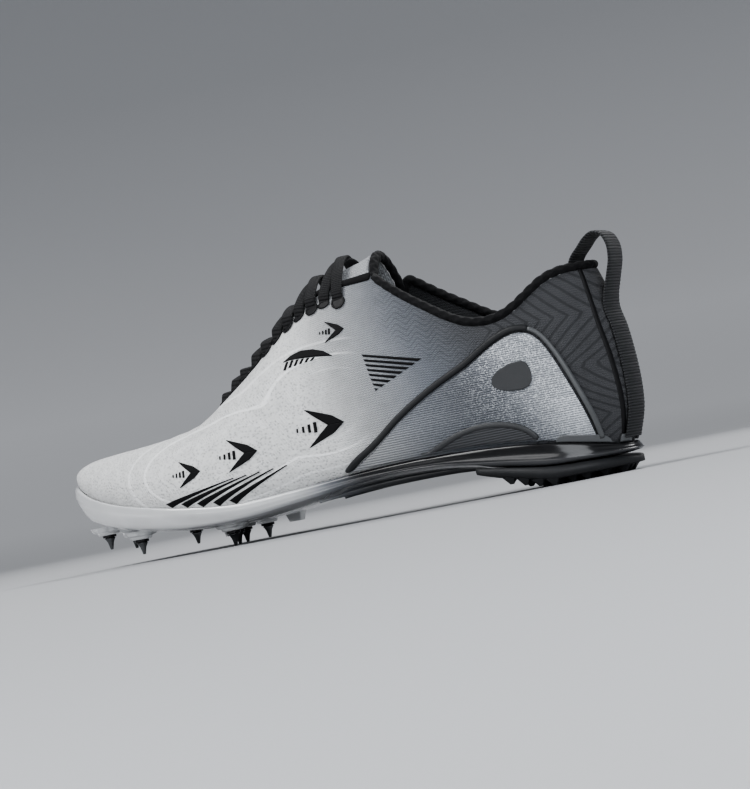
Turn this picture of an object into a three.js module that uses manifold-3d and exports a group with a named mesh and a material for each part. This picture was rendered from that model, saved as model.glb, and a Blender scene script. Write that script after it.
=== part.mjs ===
// Left track spike shoe: toe towards -X, heel towards +X, outer side -Y, floor at z = 0.
// Shares in the tables are of the named sizes below. Lengths are millimetres.
import * as THREE from 'three';
import { mergeVertices } from 'three/addons/utils/BufferGeometryUtils.js';
import Module from 'manifold-3d';

const wasm = await Module();
wasm.setup();

// Last and sole
const shoeLength = 275;
const ballWidth = 95;
const archHeight = 18; // footbed above the floor at the arch
const instepHeight = 121; // crown of the last at the top of the tongue
const collarHeight = 93; // top of the collar binding at the heel
const throatWidth = 42;
const toePole = 0.084; // where the ribs of the toe box meet, share of length
const heelPole = 0.795; // where the ribs of the heel cup meet
const lastTuck = 9; // how far the upper turns in under the foot

// Walls and clearances
const fitGap = 0.3;
const upperWall = 1.8;
const rimWall = 1.7;
const insoleThickness = 3;
const tongueThickness = 3.2;
const tongueGap = 1;
const tongueLap = 9; // tongue under each throat edge
const tongueNose = 7; // tongue ahead of the throat
const overlayThickness = 0.7;
const overlayGap = 0.7;
const bottomCamber = 2.2; // rise of the plate's underside towards its edge

// Trims
const bindingWidth = 5;
const bindingHeight = 3.9;
const pipingWidth = 2.6;
const tapeWidth = 20;
const tapeThickness = 1.6;
const tailRoom = 1.2; // pull loop behind the heel, less the rim at the toe
const sideShift = 1; // half of what the ball stands out further on the inner side
const laceWidth = 5.2;
const laceThickness = 1.5;
const laceRows = 6;
const laceStart = 0.322; // first eyelets, share of length
const laceEnd = 0.568; // top eyelets
const laceReach = 6.5; // eyelets outside the throat edge
const laceSteps = 8;
const laceLift = 2.45; // laces above the last's face at the first eyelets
const laceLiftTop = 0.8; // and at the top ones

// Ground contact
const pinLength = 7;
const pinRadius = 3.3;
const pinTip = 0.8;
const bossRadius = 8;
const bossDepth = 3.3;
const padClear = 0.3; // heel pad below the plate
const padInset = 0.9; // heel pad in from the plate's edge
const padSlack = 0.4; // for the flats of both faces
const padBase = 2.6; // lug height
const lugPitch = 6.4;
const lugFoot = 5.8;
const lugTip = 2.4;
const padLevel = 8.6; // underside above the floor at the middle of the heel pad
const studFoot = 9;
const studTip = 5.5;

const toeX = -(shoeLength + tailRoom) / 2;
const heelX = toeX + shoeLength;

const named = (keys, rows) => rows.map((row) => Object.fromEntries(keys.map((key, i) => [key, row[i]])));

// Sections of the last and plate. at: share of length from the toe. lateral, medial: half breadths,
// edgeL, edgeM: underside set in from the outline, crownY: crest line, all shares of ball width.
// rimL, rimM, bed, bottom: shares of arch height. swellL, swellM: widest level above the footbed,
// shares of collar height.
const sections = named(
  ['at', 'lateral', 'medial', 'rimL', 'rimM', 'swellL', 'swellM', 'crownY', 'bed', 'bottom', 'edgeL', 'edgeM'],
  [
    [0, -0.084, 0.084, 2.278, 2.278, 0.12, 0.12, 0.084, 1.833, 1.333, 0.023, 0.023],
    [0.02, 0.084, 0.242, 2.144, 2.144, 0.129, 0.129, 0.084, 1.694, 1.178, 0.025, 0.023],
    [0.064, 0.216, 0.353, 1.822, 1.844, 0.139, 0.139, 0.074, 1.422, 0.978, 0.027, 0.023],
    [0.122, 0.326, 0.437, 1.556, 1.589, 0.155, 0.155, 0.074, 1.144, 0.789, 0.027, 0.023],
    [0.191, 0.421, 0.489, 1.344, 1.389, 0.167, 0.167, 0.063, 0.917, 0.644, 0.026, 0.016],
    [0.271, 0.479, 0.505, 1.144, 1.2, 0.18, 0.19, 0.063, 0.739, 0.522, 0.021, 0.016],
    [0.359, 0.495, 0.458, 1.011, 1.156, 0.178, 0.189, 0.042, 0.689, 0.511, 0.021, 0.016],
    [0.46, 0.458, 0.379, 1.078, 1.333, 0.161, 0.194, 0.021, 0.833, 0.656, 0.021, 0.032],
    [0.569, 0.405, 0.326, 1.206, 1.5, 0.161, 0.204, 0.011, 1, 0.811, 0.021, 0.074],
    [0.679, 0.368, 0.316, 1.239, 1.5, 0.194, 0.226, 0, 1, 0.811, 0.016, 0.089],
    [0.788, 0.353, 0.332, 1.161, 1.25, 0.258, 0.269, 0, 0.778, 0.589, 0.011, 0.032],
    [0.868, 0.337, 0.326, 1.033, 1, 0.292, 0.292, 0, 0.6, 0.4, 0.011, 0.011],
    [0.937, 0.266, 0.263, 0.844, 0.811, 0.305, 0.305, 0, 0.533, 0.356, 0.016, 0.016],
    [0.979, 0.153, 0.153, 0.717, 0.717, 0.306, 0.306, 0, 0.528, 0.344, 0.021, 0.021],
    [1, 0, 0, 0.683, 0.683, 0.306, 0.306, 0, 0.528, 0.344, 0.026, 0.026],
  ],
);

// Crest of the last along its own line: height as a share of instep height, and how domed
// (low numbers are boxier) the section is there.
const crest = named(['at', 'height', 'dome'], [
  [0.053, 0.409, 0.8],
  [0.089, 0.423, 0.8],
  [0.133, 0.431, 0.8],
  [0.206, 0.446, 0.82],
  [0.279, 0.488, 0.84],
  [0.351, 0.591, 0.88],
  [0.424, 0.727, 0.93],
  [0.482, 0.847, 0.97],
  [0.533, 0.926, 0.99],
  [0.588, 0.967, 0.99],
  [0.642, 1, 0.95],
  [0.715, 1.033, 0.88],
  [0.799, 1.05, 0.8],
  [0.831, 1.05, 0.8],
]);

// Throat: half width as a share of throat width.
const throat = named(['at', 'half'], [
  [0.289, 0],
  [0.3, 0.167],
  [0.322, 0.25],
  [0.366, 0.31],
  [0.442, 0.369],
  [0.515, 0.429],
  [0.577, 0.464],
  [0.628, 0.488],
]);

// Collar line: height of the binding's top as a share of collar height.
const collar = named(['at', 'height'], [
  [0.628, 1.156],
  [0.646, 1.108],
  [0.664, 1.065],
  [0.686, 1.016],
  [0.715, 0.957],
  [0.751, 0.887],
  [0.78, 0.845],
  [0.806, 0.83],
  [0.831, 0.834],
  [0.86, 0.866],
  [0.886, 0.919],
  [0.911, 0.97],
  [0.937, 0.996],
  [0.962, 1],
  [1, 1],
]);

// Spikes: at along the length, across as a share of ball width, extra boss depth as a share of
// the boss depth, and whether the pin reaches the floor.
const pins = named(['at', 'across', 'extra', 'stands'], [
  [0.047, -0.013, 0, 0],
  [0.14, -0.219, 0, 0],
  [0.057, 0.2, 0.45, 0],
  [0.144, 0.374, 0.3, 0],
  [0.313, -0.266, 0, 1],
  [0.276, 0.02, 0, 1],
  [0.256, 0.241, 0, 1],
  [0.268, 0.433, 0, 1],
]);

// Moulded studs between the spikes.
const studs = named(['at', 'across', 'height'], [
  [0.209, 0.389, 0.7],
  [0.324, 0.426, 0.55],
]);

// Ribs under the waist: where each starts and ends, and how far across, in shares of ball width.
const waistRibs = named(['from', 'to', 'start', 'middle', 'end'], [
  [0.468, 0.77, -0.232, -0.1, 0.005],
  [0.46, 0.775, 0.137, -0.03, 0.045],
  [0.453, 0.762, 0.232, 0.085, 0.09],
]);

// Upper edge of the quarter panel on each side, heights as shares of collar height.
const quarter = named(['at', 'height'], [
  [0.548, 0.245],
  [0.556, 0.266],
  [0.601, 0.345],
  [0.647, 0.445],
  [0.709, 0.549],
  [0.765, 0.622],
  [0.827, 0.718],
  [0.85, 0.74],
  [0.87, 0.742],
  [0.888, 0.722],
  [0.899, 0.689],
  [0.908, 0.64],
  [0.925, 0.505],
  [0.935, 0.409],
  [0.945, 0.314],
  [0.952, 0.242],
]);

// Upper edge of the wing over the rim at the waist.
const wing = named(['at', 'height'], [
  [0.672, 0.243],
  [0.695, 0.272],
  [0.718, 0.299],
  [0.763, 0.33],
  [0.8, 0.329],
  [0.83, 0.308],
  [0.852, 0.271],
  [0.862, 0.231],
]);

// Pull loop: centre line behind the heel end and above the collar's top, shares of tape width.
const loopLine = named(['back', 'height', 'curl'], [
  [-0.07, -0.85, 0.85],
  [0.03, -0.45, 0.5],
  [0.115, -0.05, 0.2],
  [0.095, 0.25, 0.05],
  [-0.03, 0.485, 0],
  [-0.21, 0.54, 0],
  [-0.39, 0.45, 0],
  [-0.555, 0.29, 0],
  [-0.745, 0.1, 0],
  [-0.86, -0.11, 0],
]);

const clamp = (v, a, b) => Math.min(b, Math.max(a, v));
const mix = (a, b, f) => a + (b - a) * f;
const range = (n) => Array.from({ length: n + 1 }, (_, i) => i / n);

// Smooth curve through table rows, with the slope of the row on each side weighed by distance.
function curve(xs, ys) {
  const n = xs.length - 1;
  const h = xs.slice(1).map((x, i) => x - xs[i]);
  const d = h.map((w, i) => (ys[i + 1] - ys[i]) / w);
  const m = xs.map((_, i) => {
    if (i === 0) return d[0];
    if (i === n) return d[n - 1];
    return (d[i - 1] * h[i] + d[i] * h[i - 1]) / (h[i - 1] + h[i]);
  });
  return (q) => {
    const v = clamp(q, xs[0], xs[n]);
    let i = 0;
    while (i < n - 1 && v > xs[i + 1]) i += 1;
    const u = (v - xs[i]) / h[i];
    const rise = (2 * u - 3) * u * u + 1;
    return rise * ys[i] + (1 - rise) * ys[i + 1] + h[i] * u * (1 - u) * ((1 - u) * m[i] - u * m[i + 1]);
  };
}

// The station s runs 0 at the toe to 1 at the heel and is dense at both round ends.
const stationAt = (at) => Math.acos(clamp(1 - 2 * at, -1, 1)) / Math.PI;
const stationOf = (x) => stationAt((x - toeX) / shoeLength);
const stationX = (s) => toeX + (shoeLength * (1 - Math.cos(Math.PI * s))) / 2;
const sectionCurve = (key, size) => curve(sections.map((r) => stationAt(r.at)), sections.map((r) => r[key] * size));
const lengthCurve = (rows, key, size) => curve(rows.map((r) => toeX + r.at * shoeLength), rows.map((r) => r[key] * size));

const breadthL = sectionCurve('lateral', ballWidth);
const breadthM = sectionCurve('medial', ballWidth);
const rimL = sectionCurve('rimL', archHeight);
const rimM = sectionCurve('rimM', archHeight);
const swellL = sectionCurve('swellL', collarHeight);
const swellM = sectionCurve('swellM', collarHeight);
const crownY = sectionCurve('crownY', ballWidth);
const bed = sectionCurve('bed', archHeight);
const bottom = sectionCurve('bottom', archHeight);
const edgeL = sectionCurve('edgeL', ballWidth);
const edgeM = sectionCurve('edgeM', ballWidth);
const crestZ = lengthCurve(crest, 'height', instepHeight);
const dome = lengthCurve(crest, 'dome', 1);
const throatHalf = lengthCurve(throat, 'half', throatWidth);
const collarZ = lengthCurve(collar, 'height', collarHeight);
const wingZ = lengthCurve(wing, 'height', collarHeight);

const throatFront = toeX + throat[0].at * shoeLength;
const collarFront = toeX + collar[0].at * shoeLength;

// Plan outline at the widest level. side is -1 lateral and +1 medial.
function outline(s, side) {
  const over = s < 0 || s > 1;
  const own = over ? -side : side;
  const t = s < 0 ? -s : s > 1 ? 2 - s : s;
  return [stationX(t), own < 0 ? -breadthL(t) : breadthM(t)];
}

function outward(s, side) {
  const e = 2e-4;
  const a = outline(s - e, side);
  const b = outline(s + e, side);
  const l = Math.hypot(b[0] - a[0], b[1] - a[1]) * -side;
  return [(b[1] - a[1]) / l, -(b[0] - a[0]) / l];
}

// The ribs lean towards one pole over the toe and one over the heel.
function spineX(x) {
  const soft = (v) => Math.log1p(Math.exp(-Math.abs(v))) + Math.max(v, 0);
  const toe = 9;
  const heel = 12;
  const toeStart = toeX + toePole * shoeLength;
  const heelStart = toeX + heelPole * shoeLength;
  return x + toe * soft((toeStart - x) / toe) - heel * soft((x - heelStart) / heel);
}

const swell = (s, side) => bed(s) + (side < 0 ? swellL(s) : swellM(s));
const rim = (s, side) => (side < 0 ? rimL(s) : rimM(s));
const edge = (s, side) => (side < 0 ? edgeL(s) : edgeM(s));
const seat = (s) => bed(s) + fitGap;
const tuck = (s, t) => lastTuck * mix(1, 0.85, s) * (1 - t) ** 2.2;

// Outer face of the upper. t runs -1 at its lower edge, 0 at the widest level, 1 on the crest.
function wall(s, side, t) {
  const [x, y] = outline(s, side);
  const top = swell(s, side);
  if (t <= 0) {
    const [nx, ny] = outward(s, side);
    const d = tuck(s, 1 + t);
    return new THREE.Vector3(x - nx * d, y - ny * d, mix(seat(s), top, 1 + t));
  }
  const px = spineX(x);
  const py = crownY(stationOf(px));
  const a = (t * Math.PI) / 2;
  const out = t >= 1 ? 0 : Math.cos(a) ** dome(px);
  const up = Math.sin(a) ** 0.95;
  return new THREE.Vector3(mix(px, x, out), mix(py, y, out), mix(top, crestZ(px), up));
}

const rimLevel = (s, side) => (rim(s, side) - seat(s)) / (swell(s, side) - seat(s)) - 1;

function isOpen(p) {
  const inThroat = p.x > throatFront && p.x < collarFront
    && Math.abs(p.y - crownY(stationOf(p.x))) < throatHalf(p.x);
  return inThroat || (p.x >= collarFront && p.z > collarZ(p.x) - bindingHeight - fitGap);
}

// Level at which the rib meets the throat or the collar, or 1 where it runs to the crest.
function openLevel(s, side) {
  const steps = 60;
  for (let i = 1; i <= steps; i += 1) {
    if (!isOpen(wall(s, side, mix(0.05, 1, i / steps)))) continue;
    let low = mix(0.05, 1, (i - 1) / steps);
    let high = mix(0.05, 1, i / steps);
    for (let k = 0; k < 20; k += 1) {
      const mid = (low + high) / 2;
      if (isOpen(wall(s, side, mid))) high = mid;
      else low = mid;
    }
    return low;
  }
  return 1;
}

// Level at height z on the rib at s.
function levelAt(s, side, z) {
  const top = swell(s, side);
  if (z <= top) return (z - seat(s)) / (top - seat(s)) - 1;
  const crown = crestZ(spineX(stationX(s)));
  return (2 / Math.PI) * Math.asin(clamp((z - top) / (crown - top), 0, 1) ** (1 / 0.95));
}

// Outward normal of the face.
function faceNormal(s, side, t) {
  const e = 1e-3;
  const along = wall(s + e, side, t).sub(wall(s - e, side, t));
  const up = wall(s, side, t + e).sub(wall(s, side, t - e));
  const n = along.cross(up).normalize();
  return n.multiplyScalar(-side);
}

// Mesh of grids of points; shared points are merged and flat slivers dropped.
class Skin {
  constructor() {
    this.points = [];
  }

  tri(a, b, c) {
    this.points.push(a, b, c);
  }

  quad(a, b, c, d) {
    this.tri(a, b, c);
    this.tri(a, c, d);
  }

  grid(rows, flip = false) {
    for (let i = 0; i + 1 < rows.length; i += 1) {
      for (let j = 0; j + 1 < rows[i].length; j += 1) {
        const q = [rows[i][j], rows[i + 1][j], rows[i + 1][j + 1], rows[i][j + 1]];
        if (flip) q.reverse();
        this.quad(...q);
      }
    }
  }

  fan(ring, centre, flip = false) {
    ring.forEach((p, i) => {
      const q = ring[(i + 1) % ring.length];
      this.tri(centre, flip ? q : p, flip ? p : q);
    });
  }

  geometry() {
    const keys = new Map();
    const place = [];
    const index = [];
    const idOf = (p) => {
      const key = [p.x, p.y, p.z].map((v) => Math.round(v * 2000)).join();
      if (!keys.has(key)) {
        keys.set(key, place.length / 3);
        place.push(p.x, p.y, p.z);
      }
      return keys.get(key);
    };
    for (let i = 0; i < this.points.length; i += 3) {
      const [a, b, c] = this.points.slice(i, i + 3).map(idOf);
      if (a !== b && b !== c && c !== a) index.push(a, b, c);
    }
    const g = new THREE.BufferGeometry();
    g.setAttribute('position', new THREE.Float32BufferAttribute(place, 3));
    g.setIndex(index);
    return outwardFacing(g);
  }
}

function outwardFacing(g) {
  const p = g.attributes.position;
  const at = (i) => new THREE.Vector3().fromBufferAttribute(p, i);
  const index = Array.from(g.index.array);
  let volume = 0;
  for (let i = 0; i < index.length; i += 3) {
    volume += at(index[i]).dot(at(index[i + 1]).cross(at(index[i + 2])));
  }
  if (volume < 0) {
    for (let i = 0; i < index.length; i += 3) index.splice(i, 2, index[i + 1], index[i]);
    g.setIndex(index);
  }
  return g;
}

// Normals of a grid of points by central differences along both directions.
function gridNormals(rows, cyclic = false) {
  const n = rows.length;
  return rows.map((row, i) => row.map((p, j) => {
    const before = cyclic ? rows[(i + n - 1) % n] : rows[Math.max(0, i - 1)];
    const after = cyclic ? rows[(i + 1) % n] : rows[Math.min(n - 1, i + 1)];
    const u = after[j].clone().sub(before[j]);
    const v = row[Math.min(row.length - 1, j + 1)].clone().sub(row[Math.max(0, j - 1)]);
    return u.cross(v).normalize();
  }));
}

const offset = (rows, normals, d) => rows.map((row, i) => row.map((p, j) => p.clone().addScaledVector(normals[i][j], d)));

// Closed sheet between two grids of the same size.
function sheet(outer, inner) {
  const skin = new Skin();
  const last = outer.length - 1;
  const end = outer[0].length - 1;
  const column = (rows, j) => rows.map((row) => row[j]);
  skin.grid(outer);
  skin.grid(inner, true);
  skin.grid([inner[0], outer[0]]);
  skin.grid([inner[last], outer[last]], true);
  skin.grid([column(inner, 0), column(outer, 0)], true);
  skin.grid([column(inner, end), column(outer, end)]);
  return skin.geometry();
}

// Sheet over the last's outer face. rows holds spots on the face: side, station x and height z.
function overlay(rows, low, high) {
  const lifted = (d) => rows.map((row) => row.map(({ side, x, z }) => {
    const s = stationOf(x);
    const t = levelAt(s, side, z);
    return wall(s, side, t).addScaledVector(faceNormal(s, side, t), d);
  }));
  return sheet(lifted(high), lifted(low));
}

// Bar with rings of points along a path, closed at both ends or into a loop.
function bar(rings, endless = false) {
  const skin = new Skin();
  const centre = (ring) => ring.reduce((a, p) => a.add(p), new THREE.Vector3()).divideScalar(ring.length);
  const closed = rings.map((ring) => [...ring, ring[0]]);
  skin.grid(endless ? [...closed, closed[0]] : closed);
  if (!endless) {
    skin.fan(rings[0], centre(rings[0]));
    skin.fan(rings[rings.length - 1], centre(rings[rings.length - 1]), true);
  }
  return skin.geometry();
}

// Rings of an oval section. Each stop has a place, an up and an out direction.
function ovalRings(stops, halfWidth, halfHeight, sides, round = 1) {
  return stops.map(({ place, up, out }) => range(sides).slice(0, -1).map((f) => {
    const a = f * 2 * Math.PI + Math.PI / sides;
    const c = Math.sign(Math.cos(a)) * Math.abs(Math.cos(a)) ** round;
    const s = Math.sign(Math.sin(a)) * Math.abs(Math.sin(a)) ** round;
    return place.clone().addScaledVector(out, halfWidth * c).addScaledVector(up, halfHeight * s);
  }));
}

function solid(g) {
  const merged = mergeVertices(new THREE.BufferGeometry()
    .setAttribute('position', g.attributes.position.clone())
    .setIndex(g.index), 1e-4);
  return new wasm.Manifold(new wasm.Mesh({
    numProp: 3,
    vertProperties: new Float32Array(merged.attributes.position.array),
    triVerts: new Uint32Array(merged.index.array),
  }));
}

function fromSolid(m) {
  const mesh = m.getMesh();
  const g = new THREE.BufferGeometry();
  g.setAttribute('position', new THREE.BufferAttribute(new Float32Array(mesh.vertProperties), 3));
  g.setIndex(Array.from(mesh.triVerts));
  return g;
}

const joined = (list) => fromSolid(list.map(solid).reduce((a, b) => a.add(b)));

const shoe = new THREE.Group();

function add(name, geometry, color, roughness, metalness = 0) {
  const mesh = new THREE.Mesh(geometry, new THREE.MeshStandardMaterial({ color, roughness, metalness }));
  mesh.name = name;
  shoe.add(mesh);
}

// Stations along one side, closer where the throat begins and where the collar turns.
const stationCount = 31;
const throatStation = stationOf(throatFront);
const ribStations = range(stationCount).filter((s) => Math.abs(s - throatStation) > 0.012);
ribStations.push(throatStation, throatStation + 0.004, throatStation + 0.012);
ribStations.sort((a, b) => a - b);
// A loop of ribs: lateral from toe to heel, then medial back to the toe.
const loop = [
  ...ribStations.map((s) => ({ s, side: -1 })),
  ...ribStations.slice(1, -1).reverse().map((s) => ({ s, side: 1 })),
];
const around = (rows) => [...rows, rows[0]];

// Upper
const hemLevels = [0, 0.45, 1];
const bodySteps = 9;
const throatBlend = 0.09; // how far ahead of the throat the rib spacing starts to change
const throatLevel = 0.8;

function upperGeometry() {
  const levels = loop.map(({ s, side }) => {
    const hem = hemLevels.map((f) => mix(-1, rimLevel(s, side), f));
    const open = openLevel(s, side);
    const near = clamp(1 - (throatStation - s) / throatBlend, 0, 1);
    const reach = open === 1 && s < throatStation + 0.001 ? mix(1, throatLevel, near * near) : open;
    const body = range(bodySteps).slice(1, -1).map((f) => mix(rimLevel(s, side), reach, 1 - (1 - f) ** 1.4));
    return { open, list: [...hem, ...body, open] };
  });
  const outer = loop.map(({ s, side }, k) => levels[k].list.map((t) => wall(s, side, t)));
  const normals = gridNormals(outer, true);
  const up = new THREE.Vector3(0, 0, 1);
  const inner = loop.map(({ s, side }, k) => outer[k].map((p, j) => {
    const end = j === outer[k].length - 1;
    if (j === 0) {
      const [nx, ny] = outward(s, side);
      return new THREE.Vector3(p.x - nx * upperWall, p.y - ny * upperWall, p.z);
    }
    const n = end && levels[k].open === 1 ? up : normals[k][j];
    return p.clone().addScaledVector(n, -upperWall * Math.sign(n.dot(p.clone().sub(core(s))) || 1));
  }));
  const skin = new Skin();
  skin.grid(around(outer));
  skin.grid(around(inner), true);
  skin.grid([around(inner.map((r) => r[0])), around(outer.map((r) => r[0]))], true);
  const top = outer[0].length - 1;
  for (let k = 0; k < loop.length; k += 1) {
    const next = (k + 1) % loop.length;
    if (levels[k].open === 1 && levels[next].open === 1) continue;
    skin.grid([[inner[k][top], inner[next][top]], [outer[k][top], outer[next][top]]]);
  }
  return { geometry: skin.geometry(), outer, inner, levels };
}

// A point inside the shoe at the station, to tell in from out.
function core(s) {
  const x = spineX(stationX(s));
  return new THREE.Vector3(clamp(x, toeX + 0.12 * shoeLength, -toeX - 0.12 * shoeLength), 0, bed(s) + 8);
}

const upper = upperGeometry();
add('upper', upper.geometry, 0xd9dadb, 0.8);

// Outsole plate: one profile per rib, from the footbed over the rim and round to the underside.
function plateBottom(x, reach) {
  return bottom(stationOf(x)) + bottomCamber * clamp(reach, 0, 1) ** 3;
}

function plateProfile({ s, side }) {
  const [x, y] = outline(s, side);
  const [nx, ny] = outward(s, side);
  const px = spineX(x);
  const py = crownY(stationOf(px)) * 0.5;
  const at = (d, z) => new THREE.Vector3(x + nx * d, y + ny * d, z);
  const top = rimLevel(s, side);
  const inside = hemLevels.map((f) => {
    const t = mix(-1, top, f);
    return at(1.4 * fitGap - tuck(s, 1 + t), f === 0 ? bed(s) : wall(s, side, t).z);
  });
  const lip = 1.4 * fitGap - tuck(s, 1 + top) + rimWall;
  const under = -edge(s, side) - 1.5;
  const foot = at(under, 0);
  const bedIn = inside[0];
  const beds = [0].map((f) => {
    const q = new THREE.Vector3(mix(px, bedIn.x, f), mix(py, bedIn.y, f), 0);
    return q.setZ(mix(bed(stationOf(q.x)), bed(s), f * f));
  });
  const rise = rim(s, side) - bottom(s) - bottomCamber;
  const outside = [
    at(lip, rim(s, side)),
    at(lip + 0.5, rim(s, side) - 0.3 * rise),
    at(mix(lip, under + 1.5, 0.55) + 0.4, bottom(s) + bottomCamber + 0.3 * rise),
    at(under + 1.5, bottom(s) + bottomCamber + 0.9),
    foot.setZ(bottom(s) + bottomCamber),
  ];
  const soles = [0.7, 0].map((f) => {
    const q = new THREE.Vector3(mix(px, foot.x, f), mix(py, foot.y, f), 0);
    return q.setZ(mix(bottom(stationOf(q.x)), bottom(s), f) + bottomCamber * f ** 3);
  });
  return [...beds, ...inside, ...outside, ...soles];
}

const plateSkin = new Skin();
plateSkin.grid(around(loop.map(plateProfile)));

function lathe(profile, sides, place) {
  const g = new THREE.LatheGeometry(profile.map(([r, z]) => new THREE.Vector2(r, z)), sides);
  g.deleteAttribute('normal');
  g.deleteAttribute('uv');
  g.rotateX(Math.PI / 2);
  g.translate(place.x, place.y, place.z);
  return outwardFacing(mergeVertices(g, 1e-4));
}

// Underside height and the plan place of each spike.
function underAt(x, y) {
  const s = stationOf(x);
  const half = y < 0 ? breadthL(s) - edgeL(s) : breadthM(s) - edgeM(s);
  return plateBottom(x, Math.abs(y) / half);
}

const pinPlaces = pins.map((pin) => {
  const x = toeX + pin.at * shoeLength;
  const y = pin.across * ballWidth;
  const z = pin.stands ? pinLength : underAt(x, y) - bossDepth * (1 + pin.extra);
  return new THREE.Vector3(x, y, z);
});

const bossParts = pinPlaces.map((p) => {
  const root = bed(stationOf(p.x)) - 1.4 - p.z;
  return lathe([
    [0, 0],
    [0.62 * bossRadius, 0],
    [0.68 * bossRadius, 0.45 * bossDepth],
    [0.94 * bossRadius, 0.55 * bossDepth],
    [bossRadius, Math.min(1.1 * bossDepth, root - 0.3)],
    [0.75 * bossRadius, root],
    [0, root],
  ], 11, p);
});

function taperedBlock(place, foot, tip, height, sink) {
  const ring = (half, z) => [[-1, -1], [1, -1], [1, 1], [-1, 1]].map(([i, j]) => (
    new THREE.Vector3(place.x + i * half, place.y + j * half, place.z + z)));
  return bar([ring(foot / 2, sink), ring(foot / 2, 0), ring(tip / 2, -height)]);
}

const studParts = studs.map((stud) => {
  const x = toeX + stud.at * shoeLength;
  const y = stud.across * ballWidth;
  const z = underAt(x, y);
  return taperedBlock(new THREE.Vector3(x, y, z + 0.5), studFoot, studTip, stud.height * z, 1.2);
});

// Waist ribs: low bars let into the underside.
const ribParts = waistRibs.map((rib) => {
  const line = curve([0, 0.5, 1], [rib.start, rib.middle, rib.end].map((v) => v * ballWidth));
  const stops = range(8).map((f) => {
    const x = toeX + mix(rib.from, rib.to, f) * shoeLength;
    const y = line(f);
    const size = 0.3 + 0.7 * Math.sin(Math.PI * clamp(f, 0.06, 0.94));
    return { x, y, z: underAt(x, y), size };
  });
  return bar(stops.map(({ x, y, z, size }) => [
    new THREE.Vector3(x, y - 2.4 * size, z + 1.1),
    new THREE.Vector3(x, y + 2.4 * size, z + 1.1),
    new THREE.Vector3(x, y + 0.8, z - 2 * size),
    new THREE.Vector3(x, y - 0.8, z - 2 * size),
  ]));
});

add('outsole_plate', joined([plateSkin.geometry(), ...bossParts, ...studParts, ...ribParts]), 0xc9cbcd, 0.25);

pinPlaces.forEach((p, i) => {
  const top = p.clone();
  top.z -= 0.1;
  const long = pinLength - 0.1;
  add(`spike_${i + 1}`, lathe([
    [0, -long],
    [pinTip, -long],
    [0.78 * pinRadius, -0.34 * long],
    [pinRadius, -0.26 * long],
    [pinRadius, 0],
    [0, 0],
  ], 8, top), 0x8e9194, 0.25, 1);
});

// Heel pad: a U round the heel with lugs down to the floor. Each finger narrows to its tip, and
// the V between them opens by a share of the sole's own half breadth.
const padFront = { lateral: 0.752, medial: 0.735 };
const padVee = { at: 0.862, lateral: 0.93, medial: 0.5, root: 2.4 };

const padFloor = (x, y) => Math.min(padBase + Math.max(0, underAt(x, y) - padLevel) * 1.5, underAt(x, y) - 2.2);

function padRows() {
  const vee = toeX + padVee.at * shoeLength;
  const list = [
    ...range(13).map((f) => ({ s: mix(stationAt(padFront.lateral), 1, f), side: -1 })),
    ...range(13).slice(0, -1).reverse().map((f) => ({ s: mix(stationAt(padFront.medial), 1, f), side: 1 })),
  ];
  return list.map(({ s, side }) => {
    const [x, y] = outline(s, side);
    const [nx, ny] = outward(s, side);
    const d = edge(s, side) + padInset;
    const out = new THREE.Vector2(x - nx * d, y - ny * d);
    const start = toeX + (side < 0 ? padFront.lateral : padFront.medial) * shoeLength;
    const open = clamp((vee - x) / (vee - start), 0, 1);
    const spread = (side < 0 ? padVee.lateral : padVee.medial) * Math.abs(out.y);
    const inY = side * mix(padVee.root, Math.max(spread, padVee.root), open);
    const inX = Math.min(out.x, vee + 1.5);
    return range(3).map((f) => new THREE.Vector2(mix(inX, out.x, f), mix(inY, out.y, f)));
  });
}

function padGeometry(rows) {
  const at = (z) => rows.map((row) => row.map((q) => new THREE.Vector3(q.x, q.y, z(q.x, q.y))));
  return sheet(at((x, y) => underAt(x, y) - padClear - padSlack), at(padFloor));
}

function padLugs(rows) {
  const ring = [...rows.map((r) => r[r.length - 1]), ...rows.map((r) => r[0]).reverse()];
  const inside = (x, y) => {
    let hit = false;
    ring.forEach((a, i) => {
      const b = ring[(i + 1) % ring.length];
      if ((a.y > y) !== (b.y > y) && x < ((b.x - a.x) * (y - a.y)) / (b.y - a.y) + a.x) hit = !hit;
    });
    return hit;
  };
  const half = lugFoot / 2;
  const list = [];
  for (let x = toeX + padFront.lateral * shoeLength + lugPitch; x < heelX; x += lugPitch) {
    for (let y = -ballWidth / 2 + lugPitch / 2; y < ballWidth / 2; y += lugPitch) {
      const fits = [-1, 1].every((i) => [-1, 1].every((j) => inside(x + i * half, y + j * half)));
      if (fits) list.push(new THREE.Vector3(x, y, padFloor(x, y) + 0.02));
    }
  }
  return list.map((p) => taperedBlock(p, lugFoot, lugTip, padBase + 0.02, 0.9));
}

const padGrid = padRows();
add('heel_pad', joined([padGeometry(padGrid), ...padLugs(padGrid)]), 0x1b1c1e, 0.7);

// Insole on the footbed, inside the upper's turned hem.
const insoleSkin = new Skin();
insoleSkin.grid(around(loop.map(({ s, side }) => {
  const [x, y] = outline(s, side);
  const [nx, ny] = outward(s, side);
  const d = tuck(s, 0) + upperWall + 4 * fitGap;
  const px = spineX(x);
  const py = crownY(stationOf(px)) * 0.5;
  const rim0 = new THREE.Vector2(x - nx * d, y - ny * d);
  const along = (f, lift) => {
    const q = new THREE.Vector3(mix(px, rim0.x, f), mix(py, rim0.y, f), 0);
    return q.setZ(mix(bed(stationOf(q.x)), bed(s), f * f) + lift);
  };
  return [
    along(0, fitGap + insoleThickness),
    along(1, fitGap + insoleThickness),
    along(1, 2 * fitGap),
    along(0, 2 * fitGap),
  ];
})));
add('insole', insoleSkin.geometry(), 0x3a3b3e, 0.9);

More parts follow.
